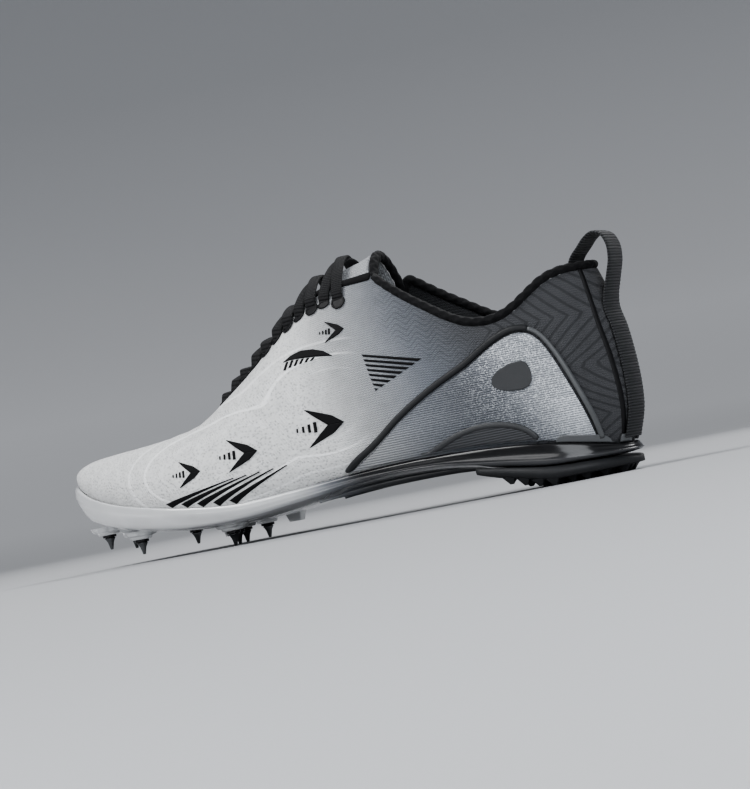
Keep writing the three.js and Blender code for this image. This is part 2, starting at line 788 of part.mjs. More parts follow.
// Level on the rib at s where its point lies a half width away from the crest line.
function levelAtWidth(s, side, half) {
  const [x, y] = outline(s, side);
  const px = spineX(x);
  const share = clamp(half / Math.abs(y - crownY(stationOf(px))), 0, 1);
  return (2 / Math.PI) * Math.acos(share ** (1 / dome(px)));
}

// Tongue: under the throat edges, its top edge scooped between the collar's two corners.
const tongueFront = throatFront - tongueNose;
const tongueTop = toeX + 0.604 * shoeLength;

function tongueRows() {
  const across = range(4);
  const spots = [...across.map((g) => ({ side: -1, g: 1 - g })), ...across.slice(1).map((g) => ({ side: 1, g }))];
  return range(13).map((f) => spots.map(({ side, g }) => {
    const x = mix(tongueFront, tongueTop, f) + 6 * f ** 4 * g * g;
    const grow = clamp((x - throatFront) / 10, 0, 1);
    const half = throatHalf(x) + mix(6, tongueLap, grow);
    return wall(stationOf(x), side, g === 0 ? 1 : levelAtWidth(stationOf(x), side, half * g));
  }));
}

const tongueGrid = tongueRows();
const tongueNormals = gridNormals(tongueGrid).map((row) => row.map((n) => (n.z < 0 ? n.negate() : n)));
const tongueFace = offset(tongueGrid, tongueNormals, -upperWall - tongueGap);
const tongueBack = offset(tongueGrid, tongueNormals, -upperWall - tongueGap - tongueThickness);
add('tongue', sheet(tongueFace, tongueBack), 0x8b9096, 0.9);

// Collar binding: one rolled cord round the collar and over the tongue's top edge.
const bindingLift = fitGap + bindingHeight / 2;
const collarStops = [];
loop.forEach(({ s, side }, k) => {
  const end = upper.outer[k].length - 1;
  const p = upper.outer[k][end];
  if (upper.levels[k].open === 1 || p.x < collarFront + 0.5) return;
  const q = upper.inner[k][end];
  const out = p.clone().sub(q).normalize();
  const rise = p.clone().sub(upper.outer[k][end - 1]);
  const up = rise.addScaledVector(out, -rise.dot(out)).normalize();
  const place = p.clone().add(q).multiplyScalar(0.5).addScaledVector(up, bindingLift);
  collarStops.push({ place, up, out });
});
const topFace = tongueFace[tongueFace.length - 1];
const topBack = tongueBack[tongueBack.length - 1];
const tongueStops = range(8).map((_, i) => i).filter((i) => Math.abs(i - 4) < 3).map((i) => {
  const along = topFace[i + 1].clone().sub(topFace[i - 1]).normalize();
  const out = topFace[i].clone().sub(topBack[i]).normalize();
  const up = out.clone().cross(along).normalize();
  if (up.x < 0) up.negate();
  const place = topFace[i].clone().add(topBack[i]).multiplyScalar(0.5);
  return { place: place.addScaledVector(up, bindingLift + 0.2), up, out };
}).reverse();
const bindingRings = ovalRings([...collarStops, ...tongueStops], bindingWidth / 2, bindingHeight / 2, 6);
add('collar_binding', bar(bindingRings, true), 0x151517, 0.9);

// Quarter panel, its piping and the wing over the rim, cut from the upper's own face. Each runs
// along a line of places given by share of length and height.
const rimTop = (x, side, height) => rim(stationOf(x), side) + 2 * fitGap + 0.5 * height;

// The inner side's lines rise with its higher rim and meet the outer side's where they end above.
function risen(x, side, z) {
  const extra = rim(stationOf(x), side) - rim(stationOf(x), -1);
  return z + Math.max(0, extra) * clamp(1.3 - z / (0.7 * collarHeight), 0, 1);
}

function linePlaces(rows, steps) {
  const spots = rows.map((r) => new THREE.Vector2(toeX + r.at * shoeLength, r.height * collarHeight));
  const path = new THREE.CatmullRomCurve3(spots.map((q) => new THREE.Vector3(q.x, 0, q.y)), false, 'centripetal');
  return range(steps).map((f) => {
    const p = path.getPointAt(f);
    const t = path.getTangentAt(f);
    return { x: p.x, z: p.z, nx: -t.z, nz: t.x };
  });
}

function panelRows(side, places, inset, lines, height) {
  const first = places[0].x;
  const last = places[places.length - 1].x;
  return places.map((q, i) => {
    const f = i / (places.length - 1);
    const baseX = mix(first, last, 0.5 - 0.5 * Math.cos(Math.PI * f));
    const baseZ = rimTop(baseX, side, height);
    const topX = q.x - q.nx * inset;
    const topZ = Math.max(risen(topX, side, q.z) - q.nz * inset, rimTop(topX, side, height) + 0.4);
    return range(lines).map((g) => ({ side, x: mix(baseX, topX, g), z: mix(baseZ, topZ, g) }));
  });
}

[['lateral', -1], ['medial', 1]].forEach(([name, side]) => {
  const places = linePlaces(quarter, 17);
  const top = overlayGap + overlayThickness;
  const panel = panelRows(side, places, pipingWidth / 2 + 2.5 * fitGap, 5, top);
  add(`quarter_panel_${name}`, overlay(panel, overlayGap, top), 0xa9adb1, 0.35, 0.3);
  const piping = places.map((q) => [-0.5, 0.5].map((f) => {
    const x = q.x + q.nx * f * pipingWidth;
    const z = risen(x, side, q.z) + q.nz * f * pipingWidth;
    return { side, x, z: Math.max(z, rimTop(x, side, 1.5 * top) + 0.3 + 0.3 * (f + 0.5)) };
  }));
  add(`quarter_piping_${name}`, overlay(piping, overlayGap, top + overlayThickness), 0x1a1a1c, 0.6);
  const low = top + overlayGap;
  const wings = panelRows(side, linePlaces(wing, 7), 0, 4, low + 2 * overlayThickness);
  add(`waist_wing_${name}`, overlay(wings, low, low + overlayThickness), 0x4a4c50, 0.4);
});

// Heel tape: up the back, out into the pull loop and down beside the collar binding.
function tapeGrid() {
  const across = [-1, -0.5, 0, 0.5, 1].map((f) => (f * tapeWidth) / 2);
  const bottomZ = rim(1, -1) + 2;
  const leaveZ = collarHeight + (loopLine[0].height - 0.18) * tapeWidth;
  const stationAcross = (y, side) => {
    let low = 0.8;
    let high = 1;
    for (let k = 0; k < 30; k += 1) {
      const mid = (low + high) / 2;
      if (Math.abs(outline(mid, side)[1]) > Math.abs(y)) low = mid;
      else high = mid;
    }
    return high;
  };
  const back = range(6).map((f) => across.map((y) => {
    const side = y < 0 ? -1 : 1;
    const z = mix(bottomZ, leaveZ, f);
    const s = stationAcross(y, side);
    const p = wall(s, side, levelAt(s, side, z));
    return new THREE.Vector3(p.x + fitGap + tapeThickness / 2 + 0.3, y, z);
  }));
  const last = back[back.length - 1];
  const loops = loopLine.map(({ back: behind, height, curl }) => across.map((y, i) => new THREE.Vector3(
    heelX + behind * tapeWidth + (last[i].x - last[2].x) * curl,
    y,
    collarHeight + height * tapeWidth,
  )));
  return [...back, ...loops];
}

const tape = tapeGrid();
const tapeNormals = gridNormals(tape);
add('heel_tape', sheet(
  offset(tape, tapeNormals, tapeThickness / 2),
  offset(tape, tapeNormals, -tapeThickness / 2),
), 0x232426, 0.85);

// Laces: crossings from eyelet to eyelet, with one straight bar at the front.
function laceBar(fromAt, toAt, fromSide) {
  const stops = range(laceSteps).map((f) => {
    const w = mix(fromSide, -fromSide, f);
    const x = toeX + mix(fromAt, toAt, f) * shoeLength;
    const side = w < 0 ? -1 : 1;
    const s = stationOf(x);
    const half = (throatHalf(x) + laceReach) * Math.abs(w);
    const spot = (t) => wall(s, side, t);
    const level = half < 0.01 ? 1 : levelAtWidth(s, side, half);
    const place = spot(level);
    const below = spot(Math.max(0.05, level - 0.04));
    const out = new THREE.Vector3(0, (place.y - below.y) * side, (place.z - below.z) * side);
    const up = half < 4 ? new THREE.Vector3(0, 0, 1) : new THREE.Vector3(0, out.z, -out.y).normalize();
    if (up.z < 0) up.negate();
    return { place, up };
  });
  return bar(ovalRings(stops.map(({ place, up }, i) => {
    const ahead = stops[Math.min(stops.length - 1, i + 1)].place;
    const behind = stops[Math.max(0, i - 1)].place;
    const along = ahead.clone().sub(behind).normalize();
    const out = along.clone().cross(up).normalize();
    const top = out.clone().cross(along).normalize();
    const lift = laceThickness / 2 + mix(laceLift, laceLiftTop, ((toAt - laceStart) / (laceEnd - laceStart)) ** 3);
    return { place: place.clone().addScaledVector(top, lift), up: top, out };
  }), laceWidth / 2, laceThickness / 2, 4, 0));
}

const laceAt = range(laceRows - 1).map((f) => mix(laceStart, laceEnd, f));
add('lace_bar', laceBar(laceAt[0], laceAt[0], -1), 0x0f0f11, 0.8);
laceAt.slice(1).forEach((at, i) => {
  const back = laceAt[i] + 0.023;
  add(`lace_crossing_${i + 1}`, joined([laceBar(back, at, -1), laceBar(back, at, 1)]), 0x0f0f11, 0.8);
});

shoe.position.y = -sideShift;

export default shoe;
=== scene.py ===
"""Looks for the track spike shoe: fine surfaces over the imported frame, materials, camera and light."""
import math

import bpy
import numpy as np
from mathutils import Matrix, Vector


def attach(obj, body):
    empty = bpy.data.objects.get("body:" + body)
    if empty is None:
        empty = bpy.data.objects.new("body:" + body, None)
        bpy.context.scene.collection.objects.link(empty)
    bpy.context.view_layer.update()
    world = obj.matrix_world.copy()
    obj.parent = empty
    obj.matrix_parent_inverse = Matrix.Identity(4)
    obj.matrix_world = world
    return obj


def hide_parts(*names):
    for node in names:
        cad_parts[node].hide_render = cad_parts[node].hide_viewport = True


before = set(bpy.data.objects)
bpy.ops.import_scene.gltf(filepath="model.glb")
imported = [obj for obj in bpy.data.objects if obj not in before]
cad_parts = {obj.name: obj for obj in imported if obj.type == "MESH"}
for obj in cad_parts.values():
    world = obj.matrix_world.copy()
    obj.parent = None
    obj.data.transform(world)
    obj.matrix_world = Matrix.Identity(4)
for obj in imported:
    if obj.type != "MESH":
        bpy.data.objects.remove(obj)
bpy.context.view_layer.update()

MM = 0.001

# the last, in millimetres
LENGTH = 275.0
TOE_X = -138.1
HEEL_X = TOE_X + LENGTH
SHIFT_Y = -1.0
BALL, ARCH, INSTEP, COLLAR_H, THROAT_W = 95.0, 18.0, 121.0, 93.0, 42.0
GAP, WALL_T = 0.3, 1.8
BIND_H = 3.9

SIDES = ((-1.0, "lateral"), (1.0, "medial"))

# share of length; half breadths, underside insets and crest line in ball widths; levels in arch heights;
# widest level above the footbed in collar heights
SECTION_KEYS = ("at", "lat", "med", "rimL", "rimM", "swL", "swM", "crown", "bed", "bottom", "edL", "edM")
SECTIONS = np.array([
    [0, -.084, .084, 2.278, 2.278, .12, .12, .084, 1.833, 1.333, .023, .023],
    [.02, .084, .242, 2.144, 2.144, .129, .129, .084, 1.694, 1.178, .025, .023],
    [.064, .216, .353, 1.822, 1.844, .139, .139, .074, 1.422, .978, .027, .023],
    [.122, .326, .437, 1.556, 1.589, .155, .155, .074, 1.144, .789, .027, .023],
    [.191, .421, .489, 1.344, 1.389, .167, .167, .063, .917, .644, .026, .016],
    [.271, .479, .505, 1.144, 1.2, .18, .19, .063, .739, .522, .021, .016],
    [.359, .495, .458, 1.011, 1.156, .178, .189, .042, .689, .511, .021, .016],
    [.46, .458, .379, 1.078, 1.333, .161, .194, .021, .833, .656, .021, .032],
    [.569, .405, .326, 1.206, 1.5, .161, .204, .011, 1, .811, .021, .074],
    [.679, .368, .316, 1.239, 1.5, .194, .226, 0, 1, .811, .016, .089],
    [.788, .353, .332, 1.161, 1.25, .258, .269, 0, .778, .589, .011, .032],
    [.868, .337, .326, 1.033, 1, .292, .292, 0, .6, .4, .011, .011],
    [.937, .266, .263, .844, .811, .305, .305, 0, .533, .356, .016, .016],
    [.979, .153, .153, .717, .717, .306, .306, 0, .528, .344, .021, .021],
    [1, 0, 0, .683, .683, .306, .306, 0, .528, .344, .026, .026]])
UNITS = dict(lat=BALL, med=BALL, rimL=ARCH, rimM=ARCH, swL=COLLAR_H, swM=COLLAR_H, crown=BALL,
             bed=ARCH, bottom=ARCH, edL=BALL, edM=BALL)
CREST = np.array([
    [.053, .409, .8], [.089, .423, .8], [.133, .431, .8], [.206, .446, .82], [.279, .488, .84],
    [.351, .591, .88], [.424, .727, .93], [.482, .847, .97], [.533, .926, .99], [.588, .967, .99],
    [.642, 1, .95], [.715, 1.033, .88], [.799, 1.05, .8], [.831, 1.05, .8]])
THROAT = np.array([[.289, 0], [.3, .167], [.322, .25], [.366, .31], [.442, .369], [.515, .429],
                   [.577, .464], [.628, .488]])
COLLAR = np.array([
    [.628, 1.156], [.646, 1.108], [.664, 1.065], [.686, 1.016], [.715, .957], [.751, .887],
    [.78, .845], [.806, .83], [.831, .834], [.86, .866], [.886, .919], [.911, .97], [.937, .996],
    [.962, 1], [1, 1]])
QUARTER = np.array([
    [.548, .245], [.556, .266], [.601, .345], [.647, .445], [.709, .549], [.765, .622], [.827, .718],
    [.85, .74], [.87, .742], [.888, .722], [.899, .689], [.908, .64], [.925, .505], [.935, .409],
    [.945, .314], [.952, .242]])
WING = np.array([[.672, .243], [.695, .272], [.718, .299], [.763, .33], [.8, .329], [.83, .308],
                 [.852, .271], [.862, .231]])
PINS = np.array([
    [.047, -.013, 0, 0], [.14, -.219, 0, 0], [.057, .2, .45, 0], [.144, .374, .3, 0],
    [.313, -.266, 0, 1], [.276, .02, 0, 1], [.256, .241, 0, 1], [.268, .433, 0, 1]])
STUDS = np.array([[.209, .389, .7], [.324, .426, .55]])
RIBS = np.array([[.468, .77, -.232, -.1, .005], [.46, .775, .137, -.03, .045],
                 [.453, .762, .232, .085, .09]])
LOOP = np.array([
    [-.07, -.85, .85], [.03, -.45, .5], [.115, -.05, .2], [.095, .25, .05], [-.03, .485, 0],
    [-.21, .54, 0], [-.39, .45, 0], [-.555, .29, 0], [-.745, .1, 0], [-.86, -.11, 0]])


def curve(xs, ys):
    """Smooth curve through table rows, the same as in the solids."""
    xs, ys = np.asarray(xs, float), np.asarray(ys, float)
    h = np.diff(xs)
    d = np.diff(ys) / h
    m = np.empty_like(ys)
    m[0], m[-1] = d[0], d[-1]
    m[1:-1] = (d[:-1] * h[1:] + d[1:] * h[:-1]) / (h[:-1] + h[1:])

    def at(q):
        q = np.clip(np.asarray(q, float), xs[0], xs[-1])
        i = np.clip(np.searchsorted(xs, q, side="right") - 1, 0, len(h) - 1)
        u = (q - xs[i]) / h[i]
        rise = (2 * u - 3) * u * u + 1
        return rise * ys[i] + (1 - rise) * ys[i + 1] + h[i] * u * (1 - u) * ((1 - u) * m[i] - u * m[i + 1])
    return at


def smooth(a, b, x):
    t = np.clip((np.asarray(x, float) - a) / (b - a), 0, 1)
    return t * t * (3 - 2 * t)


def unit(v, least=0.0):
    return v / (np.linalg.norm(v, axis=-1, keepdims=True) + least)


def arc_of(points):
    """Length along a line of points, up to each of them."""
    return np.r_[0, np.cumsum(np.linalg.norm(np.diff(points, axis=0), axis=1))]


def station_at(at):
    return np.arccos(np.clip(1 - 2 * np.asarray(at, float), -1, 1)) / math.pi


def station_of(x):
    return station_at((np.asarray(x, float) - TOE_X) / LENGTH)


def station_x(s):
    return TOE_X + LENGTH * (1 - np.cos(math.pi * s)) / 2


SEC = {k: curve(station_at(SECTIONS[:, 0]), SECTIONS[:, i] * UNITS[k])
       for i, k in enumerate(SECTION_KEYS) if i}


def along(rows, col, size):
    return curve(TOE_X + rows[:, 0] * LENGTH, rows[:, col] * size)


crest_z, dome = along(CREST, 1, INSTEP), along(CREST, 2, 1)
throat_half = along(THROAT, 1, THROAT_W)
collar_z = along(COLLAR, 1, COLLAR_H)
THROAT_X = TOE_X + THROAT[0, 0] * LENGTH
COLLAR_X = TOE_X + COLLAR[0, 0] * LENGTH


def pick(side, low, high):
    return np.where(side < 0, low, high)


def outline(s, side):
    s, side = np.broadcast_arrays(np.asarray(s, float), np.asarray(side, float))
    own = np.where((s < 0) | (s > 1), -side, side)
    t = np.where(s < 0, -s, np.where(s > 1, 2 - s, s))
    return station_x(t), pick(own, -SEC["lat"](t), SEC["med"](t))


def outward(s, side):
    e = 2e-4
    ax, ay = outline(np.asarray(s) - e, side)
    bx, by = outline(np.asarray(s) + e, side)
    length = np.hypot(bx - ax, by - ay) * -np.asarray(side, float)
    return (by - ay) / length, -(bx - ax) / length


def spine_x(x):
    toe, heel = 9.0, 12.0
    a = (TOE_X + .084 * LENGTH - x) / toe
    b = (x - TOE_X - .795 * LENGTH) / heel
    return x + toe * np.logaddexp(0, a) - heel * np.logaddexp(0, b)


def bed(s):
    return SEC["bed"](s)


def swell(s, side):
    return bed(s) + pick(side, SEC["swL"](s), SEC["swM"](s))


def rim(s, side):
    return pick(side, SEC["rimL"](s), SEC["rimM"](s))


def edge(s, side):
    return pick(side, SEC["edL"](s), SEC["edM"](s))


def tuck(s, t):
    return 9.0 * (1 - .15 * s) * np.clip(1 - t, 0, None) ** 2.2


def wall(s, side, t):
    """Outer face of the upper, mm. t: -1 lower edge, 0 widest level, 1 crest."""
    s, side, t = np.broadcast_arrays(np.asarray(s, float), np.asarray(side, float), np.asarray(t, float))
    x, y = outline(s, side)
    top, seat = swell(s, side), bed(s) + GAP
    nx, ny = outward(s, side)
    d = tuck(s, 1 + np.minimum(t, 0)) * (t <= 0)
    px = spine_x(x)
    py = SEC["crown"](station_of(px))
    a = np.clip(t, 0, 1) * math.pi / 2
    out = np.where(t >= 1, 0, np.cos(a) ** dome(px))
    up = np.sin(a) ** .95
    z = np.where(t <= 0, seat + (top - seat) * (1 + t), top + (crest_z(px) - top) * up)
    return np.stack([px + (x - px) * out - nx * d, py + (y - py) * out - ny * d + SHIFT_Y, z], -1)


def wall_normal(s, side, t):
    e = 1e-3
    a = wall(s + e, side, t) - wall(s - e, side, t)
    b = wall(s, side, t + e) - wall(s, side, t - e)
    n = unit(np.cross(a, b), 1e-12)
    return n * -np.broadcast_to(np.asarray(side, float), n.shape[:-1])[..., None]


def rim_level(s, side):
    seat = bed(s) + GAP
    return (rim(s, side) - seat) / (swell(s, side) - seat) - 1


def level_at(s, side, z):
    top, seat = swell(s, side), bed(s) + GAP
    crown = crest_z(spine_x(station_x(s)))
    f = np.clip((z - top) / (crown - top), 0, 1)
    return np.where(z <= top, (z - seat) / (top - seat) - 1, 2 / math.pi * np.arcsin(f ** (1 / .95)))


def level_at_width(s, side, half):
    x, y = outline(s, side)
    px = spine_x(x)
    f = np.clip(half / np.abs(y - SEC["crown"](station_of(px))), 0, 1)
    return 2 / math.pi * np.arccos(f ** (1 / dome(px)))


def is_open(p):
    x, y, z = p[..., 0], p[..., 1] - SHIFT_Y, p[..., 2]
    throat = (x > THROAT_X) & (x < COLLAR_X) & (np.abs(y - SEC["crown"](station_of(x))) < throat_half(x))
    return throat | ((x >= COLLAR_X) & (z > collar_z(x) - BIND_H - GAP))


def open_level(s, side):
    steps = np.linspace(.05, 1, 61)
    hit = is_open(wall(s[:, None], side[:, None], steps[None, 1:]))
    found = hit.any(1)
    k = hit.argmax(1)
    low, high = steps[k], steps[k + 1]
    for _ in range(20):
        mid = (low + high) / 2
        h = is_open(wall(s, side, mid))
        high = np.where(h, mid, high)
        low = np.where(h, low, mid)
    return np.where(found, low, 1.0), found


def lifted(s, side, t, d):
    return wall(s, side, t) + wall_normal(s, side, t) * np.asarray(d)[..., None]


def on_face(side, x, z, d=0.0):
    """Points over the upper's face at station x and height z, raised d millimetres."""
    x, z = np.asarray(x, float), np.asarray(z, float)
    s = station_of(x)
    t = level_at(s, side, z)
    return lifted(s, np.full_like(s, side), t, np.full(s.shape, float(d)) if np.isscalar(d) else d)


# meshes
def make(name, verts, faces, smooth_faces=True, uv=None, attrs=None):
    mesh = bpy.data.meshes.new(name)
    mesh.from_pydata((np.asarray(verts, float) * MM).tolist(), [], [list(map(int, f)) for f in faces])
    if uv is not None:
        layer = mesh.uv_layers.new(name="flow")
        index = np.empty(len(mesh.loops), dtype=np.int32)
        mesh.loops.foreach_get("vertex_index", index)
        layer.data.foreach_set("uv", np.asarray(uv, np.float32)[index].ravel())
    for key, values in (attrs or {}).items():
        values = np.asarray(values, np.float32)
        kind = "FLOAT" if values.ndim == 1 else "FLOAT_COLOR"
        a = mesh.attributes.new(key, kind, "POINT")
        if kind == "FLOAT":
            a.data.foreach_set("value", values)
        else:
            full = np.ones((len(values), 4), np.float32)
            full[:, :3] = values
            a.data.foreach_set("color", full.ravel())
    mesh.polygons.foreach_set("use_smooth", [bool(smooth_faces)] * len(mesh.polygons))
    mesh.update()
    obj = bpy.data.objects.new(name, mesh)
    bpy.context.scene.collection.objects.link(obj)
    return obj


def grid_faces(n, m, loop_n=False, loop_m=False, base=0, flip=False):
    i = np.arange(n if loop_n else n - 1)
    j = np.arange(m if loop_m else m - 1)
    a, b = np.meshgrid(i, j, indexing="ij")
    c, d = (a + 1) % n, (b + 1) % m
    f = np.stack([a * m + b, c * m + b, c * m + d, a * m + d], -1).reshape(-1, 4) + base
    return f[:, ::-1] if flip else f


def shell_faces(n, m, base, loop_n=False):
    """Faces of a closed sheet: outer grid, inner grid and its edges. Vertices: outer then inner."""
    k = n * m
    parts = [grid_faces(n, m, loop_n, base=base), grid_faces(n, m, loop_n, base=base + k, flip=True)]
    i = np.arange(n if loop_n else n - 1)
    c = (i + 1) % n
    for col, flip in ((0, False), (m - 1, True)):
        f = np.stack([i * m + col, i * m + col + k, c * m + col + k, c * m + col], -1) + base
        parts.append(f[:, ::-1] if flip else f)
    if not loop_n:
        j = np.arange(m - 1)
        for row, flip in ((0, True), (n - 1, False)):
            f = np.stack([row * m + j, row * m + j + k, row * m + j + 1 + k, row * m + j + 1], -1) + base
            parts.append(f[:, ::-1] if flip else f)
    return np.concatenate(parts)


def sheet_mesh(name, outer, inner, uv=None, attrs=None, loop_n=False, smooth_faces=True):
    n, m = outer.shape[:2]
    verts = np.concatenate([outer.reshape(-1, 3), inner.reshape(-1, 3)])
    twice = {k: np.concatenate([v.reshape(n * m, -1).squeeze()] * 2) for k, v in (attrs or {}).items()}
    both = None if uv is None else np.concatenate([uv.reshape(-1, 2)] * 2)
    return make(name, verts, shell_faces(n, m, 0, loop_n), smooth_faces, both, twice)


def merged(parts):
    """Verts and faces of several (verts, faces) parts together."""
    faces, base = [], 0
    for v, f in parts:
        faces += [[int(i) + base for i in face] for face in f]
        base += len(v)
    return np.concatenate([np.asarray(v, float) for v, _ in parts]), faces


def join(name, parts, smooth_faces=True, uvs=None):
    """One object from (verts, faces) parts."""
    uv = None if uvs is None else np.concatenate(uvs)
    return make(name, *merged(parts), smooth_faces, uv)


def tube(path, width, height, sides, ups, loop=False, square=1.0):
    """Verts and faces of a bar along a path of points; ups gives the section's up at each point."""
    n = len(path)
    if loop:
        ahead, behind = np.roll(path, -1, 0), np.roll(path, 1, 0)
    else:
        ahead, behind = np.vstack([path[1:], path[-1:]]), np.vstack([path[:1], path[:-1]])
    run = unit(ahead - behind, 1e-12)
    out = unit(np.cross(run, ups), 1e-12)
    up = np.cross(out, run)
    a = (np.arange(sides) / sides * 2 * math.pi + math.pi / sides)[None]
    c = np.sign(np.cos(a)) * np.abs(np.cos(a)) ** square
    s = np.sign(np.sin(a)) * np.abs(np.sin(a)) ** square
    across, over = (width / 2 * c)[..., None], (height / 2 * s)[..., None]
    verts = path[:, None] + out[:, None] * across + up[:, None] * over
    faces = grid_faces(n, sides, loop_n=loop, loop_m=True).tolist()
    if not loop:
        faces.append(list(range(sides))[::-1])
        faces.append([(n - 1) * sides + i for i in range(sides)])
    return verts.reshape(-1, 3), faces


def resample(points, step, loop=False):
    """Points every step millimetres along a smooth line through the given ones."""
    p = np.asarray(points, float)
    if loop:
        p = np.vstack([p, p[:1]])
    d = arc_of(p)
    n = max(4, int(round(d[-1] / step)))
    q = np.linspace(0, d[-1], n + 1)
    fine = np.stack([curve(d, p[:, k])(q) for k in range(p.shape[1])], -1)
    return fine[:-1] if loop else fine


# materials
def material(name):
    mat = bpy.data.materials.new(name)
    mat.use_nodes = True
    nt = mat.node_tree
    return mat, nt, nt.nodes["Principled BSDF"]


def feed(nt, n, inputs):
    """Sets a node's inputs, by index or name, to values or sockets."""
    for k, v in inputs.items():
        if isinstance(v, bpy.types.NodeSocket):
            nt.links.new(v, n.inputs[k])
        else:
            n.inputs[k].default_value = v


def sockets(nt, kind, inputs, **props):
    """A new node with its inputs and settings."""
    n = nt.nodes.new(kind)
    for k, v in props.items():
        setattr(n, k, v)
    feed(nt, n, inputs)
    return n


def maths(nt, op, *args):
    return sockets(nt, "ShaderNodeMath", dict(enumerate(args)), operation=op).outputs[0]


def hills(nt, value, pitch):
    """Half sine waves over a value, one to each pitch."""
    f = maths(nt, "FRACT", maths(nt, "DIVIDE", value, pitch))
    return maths(nt, "SINE", maths(nt, "MULTIPLY", f, math.pi))


def mixed(nt, fac, a, b, blend="MIX"):
    """Colour mix; a and b are sockets or rgb."""
    n = nt.nodes.new("ShaderNodeMix")
    n.data_type = "RGBA"
    n.blend_type = blend
    for socket, v in ((n.inputs[0], fac), (n.inputs[6], a), (n.inputs[7], b)):
        if isinstance(v, bpy.types.NodeSocket):
            nt.links.new(v, socket)
        elif isinstance(v, (int, float)):
            socket.default_value = v
        else:
            socket.default_value = (*v, 1.0) if len(v) == 3 else v
    return n.outputs[2]


def attribute(nt, name):
    n = nt.nodes.new("ShaderNodeAttribute")
    n.attribute_name = name
    return n


def position(nt, scale=(1, 1, 1)):
    c = nt.nodes.new("ShaderNodeTexCoord")
    m = sockets(nt, "ShaderNodeMapping", {"Vector": c.outputs["Object"], "Scale": scale})
    return m.outputs[0]


def flow(nt, scale=(1, 1, 1)):
    c = nt.nodes.new("ShaderNodeUVMap")
    c.uv_map = "flow"
    m = sockets(nt, "ShaderNodeMapping", {"Vector": c.outputs[0], "Scale": scale})
    return m.outputs[0]


def noise(nt, vec, scale, detail=3.0, rough=.55):
    return sockets(nt, "ShaderNodeTexNoise", {"Vector": vec, "Scale": scale, "Detail": detail,
                                              "Roughness": rough}).outputs[0]


def ramp(nt, value, stops):
    n = nt.nodes.new("ShaderNodeValToRGB")
    nt.links.new(value, n.inputs[0])
    e = n.color_ramp.elements
    while len(e) < len(stops):
        e.new(.5)
    for el, (at, c) in zip(e, stops):
        el.position = at
        el.color = (c, c, c, 1) if isinstance(c, (int, float)) else (*c, 1)
    return n.outputs[0]


def bump(nt, bsdf, height, distance, strength=1.0):
    n = sockets(nt, "ShaderNodeBump", {"Height": height, "Distance": distance, "Strength": strength})
    nt.links.new(n.outputs[0], bsdf.inputs["Normal"])


def knit_height(nt, pitch_u, pitch_v):
    """Rows of V stitches in flow coordinates (millimetres)."""
    uv = sockets(nt, "ShaderNodeSeparateXYZ", {0: flow(nt)})
    u = maths(nt, "DIVIDE", uv.outputs[0], pitch_u)
    saw = maths(nt, "ABSOLUTE", maths(nt, "SUBTRACT", maths(nt, "FRACT", u), .5))
    v = maths(nt, "DIVIDE", uv.outputs[1], pitch_v)
    row = maths(nt, "FRACT", maths(nt, "ADD", v, maths(nt, "MULTIPLY", saw, 1.1)))
    hill = maths(nt, "SINE", maths(nt, "MULTIPLY", row, math.pi))
    col = maths(nt, "POWER", maths(nt, "SINE", maths(nt, "MULTIPLY", maths(nt, "FRACT", maths(
        nt, "MULTIPLY", u, 2.0)), math.pi)), .6)
    return maths(nt, "MULTIPLY", hill, col)


